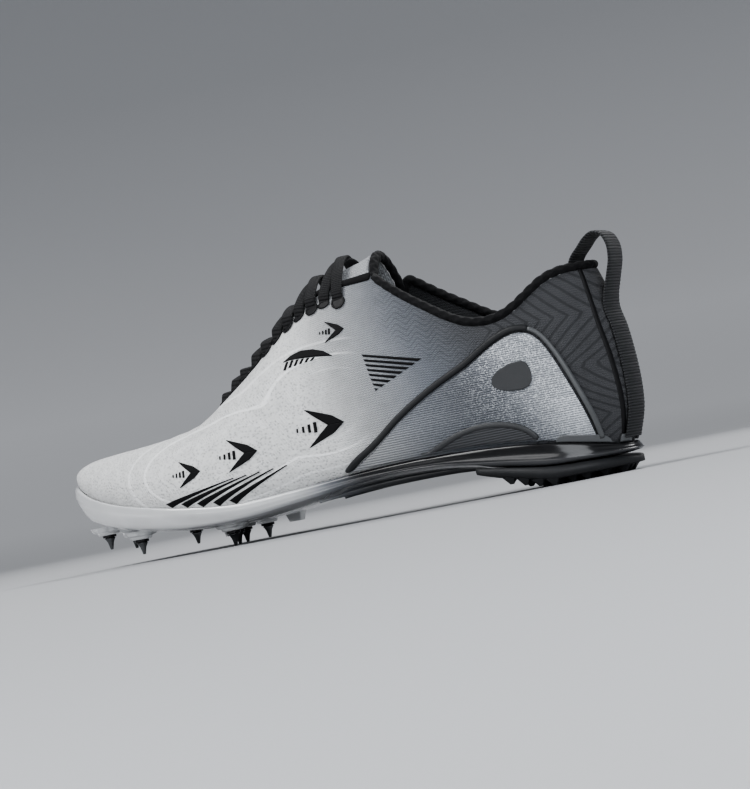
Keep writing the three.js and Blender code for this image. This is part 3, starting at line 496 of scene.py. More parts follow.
def mesh_material(name, base=None, knit=(1.3, 1.05)):
    """Engineered mesh: open grain at the toe that turns into a knit towards the collar; painted shade
    darkens the hollows of both.
    """
    mat, nt, bsdf = material(name)
    if base is None:
        colour, kind = attribute(nt, "tint").outputs["Color"], attribute(nt, "knit").outputs["Fac"]
    else:
        colour, kind = mixed(nt, 0.0, base, base), 1.0
    cells = sockets(nt, "ShaderNodeTexVoronoi", {"Vector": position(nt), "Scale": 820.0},
                    feature="F1").outputs["Distance"]
    grain = ramp(nt, cells, [(0.0, 0.0), (.38, .8), (.7, 1.0)])
    loops = knit_height(nt, *knit)
    height = mixed(nt, kind, grain, loops)
    dark = mixed(nt, .5, (.55, .55, .57), (.42, .42, .44))
    # painted shade: the colour darkens where the grain and the stitches sink
    hollow_shade = maths(nt, "SUBTRACT", 1.0, sockets(nt, "ShaderNodeSeparateColor", {0: height}).outputs[0])
    colour = mixed(nt, maths(nt, "MULTIPLY", hollow_shade, .75), colour, dark, "MULTIPLY")
    cloud = ramp(nt, noise(nt, position(nt), 160.0), [(.25, .9), (.75, 1.06)])
    colour = mixed(nt, 1.0, colour, cloud, "MULTIPLY")
    if base is None:
        # knitted-in lines: dark stitched ones behind, pale hatched bands ahead
        field = maths(nt, "FRACT", attribute(nt, "lines").outputs["Fac"])
        away = maths(nt, "ABSOLUTE", maths(nt, "SUBTRACT", field, .5))
        parts = sockets(nt, "ShaderNodeSeparateColor", {0: attribute(nt, "strokes").outputs["Color"]})
        stitch = ramp(nt, loops, [(.15, .45), (.6, 1.0)])
        dark_line = maths(nt, "MULTIPLY", ramp(nt, away, [(.08, 1.0), (.2, 0.0)]), parts.outputs[0])
        pale_line = maths(nt, "MULTIPLY", ramp(nt, away, [(.05, 1.0), (.1, 0.0)]), parts.outputs[1])
        uv = sockets(nt, "ShaderNodeSeparateXYZ", {0: flow(nt)})
        slant = maths(nt, "ADD", uv.outputs[0], maths(nt, "MULTIPLY", uv.outputs[1], .6))
        slant = maths(nt, "FRACT", maths(nt, "DIVIDE", slant, 1.25))
        band = ramp(nt, field, [(.58, 0.0), (.62, 1.0), (.86, 1.0), (.9, 0.0)])
        hatch = maths(nt, "MULTIPLY", ramp(nt, slant, [(.3, 0.0), (.5, 1.0), (.7, 0.0)]),
                      maths(nt, "MULTIPLY", band, parts.outputs[1]))
        stroke = maths(nt, "MULTIPLY", dark_line, stitch)
        colour = mixed(nt, maths(nt, "MULTIPLY", stroke, .8), colour, (.018, .019, .021))
        pale = maths(nt, "MAXIMUM", pale_line, maths(nt, "MULTIPLY", hatch, .7))
        colour = mixed(nt, maths(nt, "MULTIPLY", pale, .8), colour, (.93, .935, .94))
        height = maths(nt, "ADD", maths(nt, "SUBTRACT", height, maths(nt, "MULTIPLY", stroke, 1.2)),
                       maths(nt, "MULTIPLY", pale, .4))
    feed(nt, bsdf, {"Base Color": colour, "Roughness": .8, "Specular IOR Level": .3,
                    "Sheen Weight": .12, "Sheen Roughness": .5})
    bump(nt, bsdf, height, .00042, .9)
    return mat


def plain_material(name, colour, rough, grain=900.0, depth=.00006, metallic=0.0, vary=.12, sheen=0.0,
                   gloss=.5):
    mat, nt, bsdf = material(name)
    fine = noise(nt, position(nt), grain)
    broad = noise(nt, position(nt), 90.0)
    low = tuple(c * (1 - vary) for c in colour)
    high = tuple(min(1, c * (1 + vary)) for c in colour)
    spread = [(.3, max(0, rough - .08)), (.7, min(1, rough + .08))]
    feed(nt, bsdf, {"Base Color": mixed(nt, broad, low, high), "Roughness": ramp(nt, fine, spread),
                    "Metallic": metallic, "Sheen Weight": sheen, "Specular IOR Level": gloss})
    bump(nt, bsdf, fine, depth)
    return mat


def rib_material(name, colour, rough, pitch, axis, depth=.0003, high=1.5, sheen=.05):
    """Woven ribs across the flow: axis 0 repeats along u, axis 1 along v (millimetres); painted shade
    darkens the grooves and a painted highlight lightens the crests.
    """
    mat, nt, bsdf = material(name)
    uv = sockets(nt, "ShaderNodeSeparateXYZ", {0: flow(nt)})
    hill = hills(nt, uv.outputs[axis], pitch)
    yarn = hills(nt, uv.outputs[1 - axis], pitch * .55)
    h = maths(nt, "ADD", hill, maths(nt, "MULTIPLY", yarn, .25))
    fuzz = noise(nt, position(nt), 1400.0)
    h = maths(nt, "ADD", h, maths(nt, "MULTIPLY", fuzz, .3))
    # painted shade in the grooves between the ribs, painted highlight on their crests
    c = mixed(nt, hill, tuple(c * .55 for c in colour), tuple(min(1, c * high) for c in colour))
    feed(nt, bsdf, {"Base Color": c, "Roughness": rough, "Sheen Weight": sheen, "Specular IOR Level": .3})
    bump(nt, bsdf, h, depth)
    return mat


def reflective_material():
    """Silver film over fine horizontal ribs, with painted shade in the grooves between them and glitter
    painted bright where the glint attribute is high (painted glints); darker and bluer ahead.
    """
    mat, nt, bsdf = material("quarter_reflective")
    tint = attribute(nt, "tint").outputs["Color"]
    bright = attribute(nt, "glint").outputs["Fac"]
    uv = sockets(nt, "ShaderNodeSeparateXYZ", {0: flow(nt)})
    hill = hills(nt, uv.outputs[1], .95)
    spark = sockets(nt, "ShaderNodeTexVoronoi", {"Vector": position(nt), "Scale": 2200.0}, feature="F1")
    flake = sockets(nt, "ShaderNodeSeparateColor", {0: spark.outputs["Color"]}).outputs[0]
    # painted glints: the glitter flakes are made bright, most where the glint attribute is strong
    lit = ramp(nt, flake, [(.55, 0.0), (.95, 1.0)])
    amount = maths(nt, "MULTIPLY", lit, bright)
    # painted shade: the film darker in the grooves between its ribs
    shade = mixed(nt, maths(nt, "MULTIPLY", maths(nt, "SUBTRACT", 1.0, hill), .8), tint, (.07, .074, .082))
    c = mixed(nt, maths(nt, "MULTIPLY", amount, .75), shade, (.86, .89, .93))
    feed(nt, bsdf, {"Base Color": c, "Metallic": .35, "Roughness": ramp(nt, flake, [(.1, .34), (.9, .62)])})
    h = maths(nt, "ADD", hill, maths(nt, "MULTIPLY", flake, .5))
    bump(nt, bsdf, h, .00022, .8)
    return mat


def sole_material():
    """Clear to white at the front, smoked then black from the waist."""
    mat, nt, bsdf = material("sole_tpu")
    tint = attribute(nt, "tint").outputs["Color"]
    clear = attribute(nt, "clear").outputs["Fac"]
    cloud = noise(nt, position(nt), 45.0, 2.0)
    fine = noise(nt, position(nt), 700.0)
    shade = mixed(nt, 1.0, tint, ramp(nt, cloud, [(.3, .9), (.7, 1.04)]), "MULTIPLY")
    feed(nt, bsdf, {"Base Color": shade, "Transmission Weight": maths(nt, "MULTIPLY", clear, .35),
                    "Roughness": ramp(nt, fine, [(.3, .17), (.7, .22)]), "IOR": 1.49,
                    "Coat Weight": .25, "Coat Roughness": .08})
    bump(nt, bsdf, cloud, .0004, .5)
    return mat


# the upper
def ribs(count):
    """Stations round the shoe: lateral toe to heel, medial back to the toe."""
    s = np.linspace(0, 1, count + 1)
    front = station_of(THROAT_X)
    s = np.sort(np.r_[s[np.abs(s - front) > .45 / count], front + np.array([0, .0015, .004])])
    side = np.r_[-np.ones(len(s)), np.ones(len(s) - 2)]
    return np.r_[s, s[1:-1][::-1]], side


def flow_uv(outer):
    """(along, up) in millimetres for a grid of points, rib by rib."""
    step = np.linalg.norm(np.diff(outer, axis=1), axis=2)
    v = np.concatenate([np.zeros((len(outer), 1)), np.cumsum(step, 1)], 1)
    u = arc_of(outer[:, outer.shape[1] // 3])
    return np.stack([np.broadcast_to(u[:, None], v.shape), v], -1)


WHITE = np.array([.72, .725, .72])
BLUE = np.array([.27, .295, .335])
GREY = np.array([.10, .103, .11])
# tips of the printed arrowheads: share of length, height, size
ARROWS = ((.559, 47.4, 1.0), (.413, 42.0, .85), (.310, 37.6, .68))


def upper_tint(p):
    """Colour of the mesh: white at the toe, blue-grey over the quarter, dark grey at the collar and heel."""
    x, z = p[..., 0], p[..., 2]
    back = smooth(-4, 62, x + .25 * (z - 60))
    dark = smooth(38, 96, x + .55 * (z - 55))
    c = WHITE + (BLUE - WHITE) * back[..., None]
    return c + (GREY - c) * dark[..., None]


def wave(v, period):
    """Triangle wave, 0 to half a period."""
    return np.abs((v / period + .5) % 1.0 - .5) * period


def knit_lines(p):
    """Field whose whole steps are knitted lines, and the strength of dark and pale ones."""
    x, z = p[..., 0], p[..., 2]
    heel = smooth(78, 90, x + .2 * (z - 60))
    front = smooth(28, 46, x) * smooth(92, 80, x + .2 * (z - 60)) * smooth(-30, -22, z - collar_z(x))
    nested = (x + 1.25 * wave(z - 70, 44.0) + 1.5 * np.sin(z / 5.0)) / 5.4
    zigzag = (z + .9 * wave(x, 9.0)) / 2.6 + .12 * np.sin(x / 7.0)
    field = np.where(heel > .5, nested, zigzag)
    dark = np.abs(heel - .5) * 2 * np.where(heel > .5, .9, front * .42)
    near = 0
    for at, height, wide, more in (*((a - .03 * k, h, 1.6, 0) for a, h, k in ARROWS), (.545, 62, 2.2, 3)):
        gap = np.hypot((x - (TOE_X + at * LENGTH)) / wide, z - height) + more
        near = near + np.exp(-gap / 3.0)
    gap = -3.0 * np.log(near + 1e-9)
    ahead = smooth(28, 12, x) * smooth(-112, -100, x)
    field = np.where(ahead > 0, gap / 6.2, field)
    pale = ahead * smooth(9, 11, gap) * smooth(25, 20, gap)
    dark = dark * (ahead <= 0)
    return field, np.stack([dark, pale, 0 * dark], -1)


def build_upper():
    s, side = ribs(300)
    rl = rim_level(s, side)
    top, found = open_level(s, side)
    hem = np.array([0, .3, .6, .85, 1.0])
    f = np.linspace(0, 1, 78)[1:]
    near = np.clip(1 - (station_of(THROAT_X) - s) / .09, 0, 1)
    ahead = (~found) & (s < station_of(THROAT_X) + .001)
    reach = np.where(ahead, 1 - .2 * near ** 2, top)
    shape = 1 - (1 - f) ** 1.25
    body = rl[:, None] + (reach - rl)[:, None] * shape[None]
    body[:, -1] = top
    t = np.concatenate([-1 + (rl + 1)[:, None] * hem[None], body], 1)
    S, D = s[:, None] + 0 * t, side[:, None] + 0 * t
    outer = wall(S, D, t)
    normal = wall_normal(S, D, np.minimum(t, .995))
    crown = t > .9
    normal[crown & ~np.isfinite(normal[..., 0])] = (0, 0, 1)
    flip = (normal[..., 2] < 0) & (t > .7)
    normal[flip] *= -1
    uv = flow_uv(outer)
    x, y, z = outer[..., 0], outer[..., 1], outer[..., 2]
    knit = smooth(-6, 26, x + .3 * (z - 60))
    field, strokes = knit_lines(outer)
    # forefoot creases
    crease = np.zeros_like(x)
    for cx, amp, width, tilt in ((-66, .55, 3.2, .35), (-54, .7, 3.6, .4), (-78, .35, 3.0, .3)):
        d = (x - cx) + tilt * np.abs(y - 4)
        crease += amp * np.exp(-(d / width) ** 2) * smooth(24, 34, z) * np.exp(-((y - 4) / 30) ** 2)
    # cloth that isn't drawn quite tight: long soft hollows between the throat and the sole
    slack = np.sin(x / 7.5 + z / 16.0) * np.sin(z / 11.0 - x / 31.0 + 1.0)
    crease += .16 * (slack + 1) * smooth(-118, -90, x) * smooth(60, 30, x) * smooth(22, 32, z)
    # none at the throat's front end, where the lining's edge would stand out of the mesh
    front_x, front_y = THROAT_X - 1.5, 4.9
    crease *= 1 - np.exp(-((x - front_x) / 6) ** 4 - ((y - front_y) / 5) ** 4)
    tint = upper_tint(outer)
    fine = outer - normal * crease[..., None]
    inner = outer - normal * WALL_T
    nx, ny = outward(s, side)
    inner[:, 0] = outer[:, 0] - np.stack([nx, ny, 0 * nx], -1) * WALL_T
    m = outer.shape[1]
    # outer skin
    skin = make("upper_mesh", fine.reshape(-1, 3), grid_faces(len(s), m, loop_n=True),
                uv=uv.reshape(-1, 2), attrs={
                    "tint": tint.reshape(-1, 3), "knit": knit.ravel(), "lines": field.ravel(),
                    "strokes": strokes.reshape(-1, 3)})
    skin.data.materials.append(MAT["mesh"])
    # lining, hem edge and top edge in one coarser piece
    pick_s = np.arange(0, len(s), 3)
    cols = np.unique(np.r_[0, 2, 4, np.arange(6, m, 4), m - 1])
    o, i = outer[pick_s][:, cols], inner[pick_s][:, cols]
    k = len(cols)
    verts = np.concatenate([i.reshape(-1, 3), o[:, 0], o[:, -1]])
    n = len(pick_s)
    faces = grid_faces(n, k, loop_n=True, flip=True).tolist()
    for r in range(n):
        q = (r + 1) % n
        faces.append([r * k, n * k + r, n * k + q, q * k][::-1])
        if found[pick_s[r]] or found[pick_s[q]]:
            faces.append([r * k + k - 1, n * k + n + r, n * k + n + q, q * k + k - 1])
    lining = make("upper_lining", verts, faces, uv=np.concatenate([
        uv[pick_s][:, cols].reshape(-1, 2), uv[pick_s][:, 0], uv[pick_s][:, -1]]))
    lining.data.materials.append(MAT["lining"])
    for piece in (skin, lining):
        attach(piece, "root")
    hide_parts("upper")
    return dict(outer=outer, inner=inner, found=found)


MAT = {
    "mesh": mesh_material("engineered_mesh"),
    "lining": mesh_material("lining_mesh", (.06, .062, .066), (1.6, 1.3)),
    "tongue": mesh_material("tongue_mesh", (.52, .535, .55), (1.8, 1.5)),
    "sole": sole_material(),
    "pad": plain_material("heel_rubber", (.022, .023, .025), .5, 1300.0, .00005, gloss=.4),
    "steel": plain_material("spike_steel", (.16, .165, .17), .18, 500.0, .00001, metallic=1.0, vary=.05),
    "spike_ring": plain_material("spike_hex", (.02, .02, .022), .3, 500.0, .00002, metallic=.6),
    "cord": plain_material("binding_yarn", (.010, .010, .011), .85, 2200.0, .00012, sheen=.06, gloss=.2),
    "piping": plain_material("piping_film", (.018, .019, .021), .5, 900.0, .00005, gloss=.35),
    "grey_piping": plain_material("grey_piping_film", (.10, .104, .108), .4, 900.0, .00005),
    "clip": plain_material("heel_clip_film", (.12, .125, .13), .35, 900.0, .00004),
    "wing": plain_material("wing_film", (.045, .047, .05), .42, 900.0, .00005),
    "wing_knit": rib_material("wing_ribbed", (.05, .052, .056), .55, 1.0, 1, .0002, 1.7, .1),
    "badge": plain_material("badge_film", (.05, .052, .055), .55, 1100.0, .00006, gloss=.3),
    "print": plain_material("print_ink", (.007, .007, .008), .6, 1500.0, .00003, gloss=.15),
    "seam": plain_material("seam_tape", (.010, .010, .011), .5, 1200.0, .00005, gloss=.25),
    "reflective": reflective_material(),
    "tape": rib_material("grosgrain", (.03, .031, .033), .7, 1.25, 1, .00045),
    "lace": rib_material("lace_braid", (.009, .009, .010), .75, 1.1, 0, .0003),
    "insole": plain_material("sock_cloth", (.045, .047, .05), .9, 1500.0, .00012, sheen=.1),
}

UP = build_upper()


def done(obj, mat, slot, *nodes):
    """Material and body for a finished piece, and the solids that it stands for; slot is not used."""
    obj.data.materials.append(MAT[mat])
    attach(obj, "root")
    if nodes:
        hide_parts(*nodes)
    return obj


# tongue, binding and insole
def build_tongue():
    front = THROAT_X - 7
    back = TOE_X + .604 * LENGTH
    f = np.linspace(0, 1, 70)[:, None]
    g = np.linspace(-1, 1, 41)[None]
    x = front + (back - front) * f + 6 * f ** 4 * g * g
    grow = np.clip((x - THROAT_X) / 10, 0, 1)
    half = (throat_half(x) + 6 + 3 * grow) * np.abs(g)
    side = np.where(g < 0, -1.0, 1.0) + 0 * x
    s = station_of(x)
    t = np.where(half < 1e-6, 1.0, level_at_width(s, side, half))
    p = wall(s, side, t)
    n = unit(np.cross(np.gradient(p, axis=0), np.gradient(p, axis=1)))
    n[n[..., 2] < 0] *= -1
    gap, dip, thick = 1.0, .35, 3.2
    # a padded sheet: fuller down the middle, with sewn channels across it
    quilt = .35 * np.abs(np.sin(np.pi * (x - front) / 14.5)) ** .4 * smooth(1, .55, np.abs(g))
    face = p + n * (-WALL_T - gap - dip + quilt)[..., None]
    under = p - n * (WALL_T + gap + thick)
    uv = np.stack([x, half * side], -1)
    obj = sheet_mesh("tongue_padded", face, under, uv=uv)
    done(obj, "tongue", "tongue_mesh", "tongue")
    return dict(face=face, under=under)


TONGUE = build_tongue()


def collar_path():
    """Middle line, up and out of the cord round the collar and over the tongue's top edge."""
    keep = UP["found"] & (UP["outer"][:, -1, 0] >= COLLAR_X + .5)
    p, q = UP["outer"][keep, -1], UP["inner"][keep, -1]
    below = UP["outer"][keep, -3]
    out = unit(p - q)
    rise = p - below
    rise = unit(rise - out * (rise * out).sum(1, keepdims=True))
    lift = GAP + BIND_H / 2
    place = (p + q) / 2 + rise * lift
    face, under = TONGUE["face"][-1], TONGUE["under"][-1]
    cols = np.arange(6, 35, 2)[::-1]
    run = np.gradient(face, axis=0)[cols]
    up2 = unit(np.cross(unit(face[cols] - under[cols]), run))
    up2[up2[:, 0] < 0] *= -1
    place2 = (face[cols] + under[cols]) / 2 + up2 * (lift + .2)
    return np.vstack([place, place2]), np.vstack([rise, up2])


def build_binding():
    place, up = collar_path()
    both = resample(np.hstack([place, up]), .55, loop=True)
    for _ in range(30):
        both = (both + .5 * np.roll(both, 1, 0) + .5 * np.roll(both, -1, 0)) / 2
    path, up = both[:, :3], both[:, 3:]
    n = len(path)
    sides = 22
    v, faces = tube(path, 5.0, BIND_H, sides, up, loop=True)
    # braid: yarns that cross round the cord
    turns = round(arc_of(path)[-1] / 5.2)
    a = np.arange(sides) / sides * 2 * math.pi
    w = (np.arange(n) / n * 2 * math.pi * turns)[:, None]
    braid = np.maximum(np.cos(3 * a[None] + w), np.cos(3 * a[None] - w))
    centre = np.repeat(path, sides, 0)
    v = centre + (v - centre) * (1 - .10 + .12 * braid.ravel())[:, None]
    obj = make("collar_cord", v, faces)
    return done(obj, "cord", "collar_knit", "collar_binding")


build_binding()


def build_insole():
    s, side = ribs(110)
    x, y = outline(s, side)
    nx, ny = outward(s, side)
    d = tuck(s, 0) + WALL_T + 4 * GAP
    px = spine_x(x)
    py = SEC["crown"](station_of(px)) * .5
    rows = []
    f = np.linspace(0, 1, 12)
    for lift, order in ((GAP + 3, f), (2 * GAP, f[::-1])):
        for k in order:
            qx = px + (x - nx * d - px) * k
            qy = py + (y - ny * d - py) * k
            z = bed(station_of(qx)) * (1 - k * k) + bed(s) * k * k
            soft = lift - (.9 * smooth(.86, 1, k) if lift > 2 else 0)
            rows.append(np.stack([qx, qy + SHIFT_Y, z + soft], -1))
    grid = np.stack(rows, 1)
    obj = make("sock_liner", grid.reshape(-1, 3), grid_faces(len(s), grid.shape[1], loop_n=True))
    return done(obj, "insole", "sock_liner", "insole")


build_insole()


# overlays on the quarter
def rim_top(x, side, height):
    return rim(station_of(x), side) + .6 + .5 * height


def risen(x, side, z):
    extra = rim(station_of(x), side) - rim(station_of(x), -1.0)
    return z + np.maximum(0, extra) * np.clip(1.3 - z / (.7 * COLLAR_H), 0, 1)


def beside(line):
    """Unit vectors across a flat line of points."""
    t = unit(np.gradient(line, axis=0))
    return np.stack([-t[:, 1], t[:, 0]], -1)


def line_places(rows, step):
    """Smooth line over (x, z) with its normal."""
    p = np.stack([TOE_X + rows[:, 0] * LENGTH, rows[:, 1] * COLLAR_H], -1)
    q = resample(p, step)
    for _ in range(6):
        q[1:-1] = (q[:-2] + 2 * q[1:-1] + q[2:]) / 4
    return q, beside(q)


def face_strip(name, side, rows_x, rows_z, low, high, mat, slot, nodes=(), round_edge=0.0, attrs=None):
    """A sheet over the face from grids of x and z, low to high millimetres above it."""
    x, z = np.asarray(rows_x, float), np.asarray(rows_z, float)
    h = np.broadcast_to(np.asarray(high, float), x.shape).copy()
    if round_edge:
        h[:, 0] -= round_edge
        h[:, -1] -= round_edge
        h[0] = np.minimum(h[0], high if np.isscalar(high) else h[0]) - round_edge
        h[-1] -= round_edge
    outer = on_face(side, x, z, h)
    inner = on_face(side, x, z, np.full(x.shape, float(low)))
    obj = sheet_mesh(name, outer, inner, uv=np.stack([x, z], -1), attrs=attrs and attrs(outer))
    return done(obj, mat, slot, *nodes)


def panel_attrs(p):
    """Blue-grey ahead; the bright silver patches behind and low in front are painted highlights; darkest
    down the middle.
    """
    x, z = p[..., 0], p[..., 2]

    def spot(at, height, wide, tall, lean=0.0):
        dx, dz = x - (TOE_X + at * LENGTH), z - height
        return np.exp(-((dx + lean * dz) / wide) ** 2 - (dz / tall) ** 2)[..., None]
    c = np.array([.17, .185, .21]) + 0 * x[..., None]
    # the lighter tones behind and low in front are painted highlights on the film
    for tone, amount in (
            ((.50, .51, .52), spot(.59, 24, 22, 12)), ((.62, .65, .69), spot(.925, 32, 15, 26, .35)),
            ((.36, .38, .41), spot(.85, 62, 20, 9)), ((.42, .44, .47), spot(.90, 50, 10, 16)),
            ((.08, .088, .102), spot(.77, 44, 20, 24, .35) * .95)):
        c = c + (np.array(tone) - c) * amount
    # glint: how bright the glitter is painted, strongest over the painted highlights (painted glints)
    glint = spot(.925, 36, 20, 26, .3) + .75 * spot(.86, 61, 22, 9) + .3 * spot(.81, 46, 12, 12) + .12
    return {"tint": c, "glint": np.clip(glint[..., 0], 0, 1)}


def build_quarter(side, word):
    q, n = line_places(QUARTER, 1.2)
    k = len(q)
    inset = 1.3 + .75
    f = np.linspace(0, 1, k)
    base_x = q[0, 0] + (q[-1, 0] - q[0, 0]) * (.5 - .5 * np.cos(math.pi * f))
    top = 1.4
    base_z = rim_top(base_x, side, top)
    top_x = q[:, 0] - n[:, 0] * inset
    top_z = np.maximum(risen(top_x, side, q[:, 1]) - n[:, 1] * inset, rim_top(top_x, side, top) + .4)
    g = np.linspace(0, 1, 56)[None]
    face_strip(f"reflective_panel_{word}", side, base_x[:, None] + (top_x - base_x)[:, None] * g,
               base_z[:, None] + (top_z - base_z)[:, None] * g, .05, 1.25, "reflective", "quarter_film",
               (f"quarter_panel_{word}",), .35, attrs=panel_attrs)
    # dark piping ahead and over the top, thin grey piping down the back
    w = np.array([-1, -.9, -.6, -.2, .2, .6, .9, 1])
    turn = int(np.argmax(q[:, 1])) + 6
    for part, a, b, width, mat, nodes in (
            ("front", 0, turn, 2.6, "piping", (f"quarter_piping_{word}",)),
            ("back", turn - 1, k, 2.0, "grey_piping", ())):
        line, across = q[a:b], n[a:b]
        if part == "back":
            tail = line[-1] + (line[-1] - line[-2]) * np.arange(1, 6)[:, None]
            line, across = np.vstack([line, tail]), np.vstack([across, across[[-1] * 5]])
        x = line[:, 0:1] + across[:, 0:1] * w * width / 2
        z = risen(x, side, line[:, 1:2]) + across[:, 1:2] * w * width / 2
        z = np.maximum(z, rim_top(x, side, 2.1) + .3 + .15 * (w + 1))
        height = 1.3 + .75 * (1 - np.abs(w) ** 3)
        face_strip(f"piping_{part}_{word}", side, x, z, .05, height + 0 * x, mat, "piping", nodes)
    # wing over the rim at the waist, with its darker raised edge
    q2, n2 = line_places(WING, 1.2)
    k2 = len(q2)
    f2 = np.linspace(0, 1, k2)
    bx = q2[0, 0] + (q2[-1, 0] - q2[0, 0]) * (.5 - .5 * np.cos(math.pi * f2))
    bz = rim_top(bx, side, 3.5)
    tz = np.maximum(risen(q2[:, 0], side, q2[:, 1]), rim_top(q2[:, 0], side, 3.5) + .4)
    g = np.linspace(0, 1, 14)[None]
    face_strip(f"waist_wing_film_{word}", side, bx[:, None] + (q2[:, 0] - bx)[:, None] * g,
               bz[:, None] + (tz - bz)[:, None] * g, 1.3, 1.9, "wing_knit", "wing_film",
               (f"waist_wing_{word}",), .2)
    w = np.array([-1, -.7, 0, .7, 1]) * 1.15
    x = q2[:, 0:1] + n2[:, 0:1] * w
    z = np.maximum(risen(x, side, q2[:, 1:2]) + n2[:, 1:2] * w, rim_top(x, side, 3.5) + .3 + .1 * w)
    face_strip(f"waist_wing_edge_{word}", side, x, z, 1.3, 1.9 + .55 * (1 - (w / 1.15) ** 2) + 0 * x,
               "wing", "wing_film")


for SIDE, WORD in SIDES:
    build_quarter(SIDE, WORD)


# heel tape and pull loop
def build_tape():
    width = 20.0
    g = np.linspace(-1, 1, 17)
    across = g * width / 2
    bottom_z = float(rim(np.array(1.0), -1.0)) + 2
    leave_z = COLLAR_H + (LOOP[0, 1] - .18) * width
    fine = np.linspace(.8, 1, 2001)
    tape = []
    spots = []
    for y in across:
        side = -1.0 if y < 0 else 1.0
        half = np.abs(outline(fine, side)[1])
        spots.append((fine[int(np.argmin(np.abs(half - abs(y))))], side))
    for z in np.linspace(bottom_z, leave_z, 40):
        row = []
        for y, (s, side) in zip(across, spots):
            p = wall(s, side, level_at(s, side, z))
            row.append([p[0] + GAP + .8 + .3, y + SHIFT_Y, z])
        tape.append(row)
    tape = np.array(tape)
    # the loop keeps some of the tape's bend across, less and less of it
    last = tape[-1]
    bend = last[:, 0] - last[len(g) // 2, 0]
    rows = []
    for back, height, curl in LOOP:
        rows.append(np.stack([HEEL_X + back * width + bend * curl, across + SHIFT_Y,
                              np.full(len(g), COLLAR_H + height * width)], -1))
    coarse = np.concatenate([tape[::8], tape[-1:], np.array(rows)])
    d = arc_of(coarse[:, len(g) // 2])
    keep = np.r_[True, np.diff(d) > .5]
    coarse, d = coarse[keep], d[keep]
    q = np.arange(0, d[-1], .42)
    path = np.stack([[curve(d, coarse[:, j, k])(q) for k in range(3)] for j in range(len(g))], 0)
    path = path.transpose(2, 0, 1)
    n = unit(np.cross(np.gradient(path, axis=0), np.gradient(path, axis=1)))
    if n[10, len(g) // 2, 0] < 0:
        n = -n
    rib = .22 * np.abs(np.sin(math.pi * q / 1.7))[:, None] * (1 - np.abs(g[None]) ** 8)
    thick = .8 * (1 - .35 * np.abs(g[None]) ** 6)
    outer = path + n * (thick - .2 + rib)[..., None]
    inner = path - n * (thick - .2 + rib)[..., None]
    uv = np.stack([np.broadcast_to(across[None], rib.shape), np.broadcast_to(q[:, None], rib.shape)], -1)
    obj = sheet_mesh("heel_tape_woven", outer, inner, uv=uv)
    return done(obj, "tape", "heel_tape", "heel_tape")


build_tape()


# laces
LACE_AT = np.linspace(.322, .568, 6)
LACE_W, LACE_T, LACE_REACH = 5.2, 1.5, 6.5
LACE_BACK = .023  # slots behind the eyelets, where the crossings come out, share of length
LACE_DIP, LACE_SINK = 4.2, 1.0  # how far from its end a lace bends down, and how deep it ends


def lace_path(a, b, from_side, lift, count=41):
    """Path and up of one run of lace over the throat, from share a to share b."""
    w = np.linspace(from_side, -from_side, count)
    at = np.linspace(a, b, count)
    x = TOE_X + at * LENGTH
    side = np.where(w < 0, -1.0, 1.0)
    s = station_of(x)
    half = (throat_half(x) + LACE_REACH) * np.abs(w)
    t = np.where(half < .01, 1.0, level_at_width(s, side, np.maximum(half, .01)))
    p = wall(s, side, t)
    low = wall(s, side, np.maximum(.05, t - .05))
    out = (p - low) * side[:, None]
    up = np.stack([0 * w, out[:, 2], -out[:, 1]], -1)
    up[half < 4] = (0, 0, 1)
    up[up[:, 2] < 0] *= -1
    up = unit(up)
    for _ in range(4):
        up[1:-1] = (up[:-2] + up[1:-1] + up[2:]) / 3
    up = unit(up)
    return p + up * lift, up


def lace_run(a, b, from_side, lift, hump=0.0):
    """A run that comes out of one hole, crosses the throat and goes into another."""
    p, up = lace_path(a, b, from_side, lift)
    w = np.linspace(-1, 1, len(p))
    p = p + up * (hump * np.exp(-(w / .3) ** 2))[:, None]
    d = resample(np.hstack([p, up]), .7)
    q, u = d[:, :3], d[:, 3:]
    arc = arc_of(q)
    end = np.minimum(arc, arc[-1] - arc)
    q = q - u * ((lift + LACE_SINK) * (1 - smooth(0, LACE_DIP, end)))[:, None]
    v, f = tube(q, LACE_W, LACE_T, 14, u, square=.55)
    ring = np.tile(np.arange(14) / 14 * LACE_W * 2, len(q))
    return (v, f), np.stack([np.repeat(arc, 14), ring], -1)


def build_eyelets():
    """A stitched ring round each eyelet, and a slimmer one round each slot behind it."""
    parts = []
    # share of length, half length, half width, thickness
    holes = [(at, 2.9, 2.9, 1.0) for at in LACE_AT]
    holes += [(at + LACE_BACK, 2.75, 1.7, .7) for at in LACE_AT[:-1]]
    for at, long, wide, thick in holes:
        x = TOE_X + at * LENGTH
        for side in (-1.0, 1.0):
            s = station_of(x)
            t = float(level_at_width(s, side, throat_half(x) + LACE_REACH))
            n = wall_normal(s, side, t)
            e = unit(np.cross(n, [0, 1.0, 0]))
            g = np.cross(n, e)
            a = np.linspace(0, 2 * math.pi, 29)[:-1]
            ring = np.cos(a)[:, None] * e * long + np.sin(a)[:, None] * g * wide
            middle = wall(s, side, t) + n * .35
            parts.append(tube(middle + ring, thick, .8, 8, np.tile(n, (28, 1)), loop=True))
            disc = [[i, (i + 1) % 28, 28] for i in range(28)]
            parts.append((np.vstack([middle + ring, [middle]]), disc))
    done(join("eyelet_rings", parts), "seam", "upper_mesh")


build_eyelets()


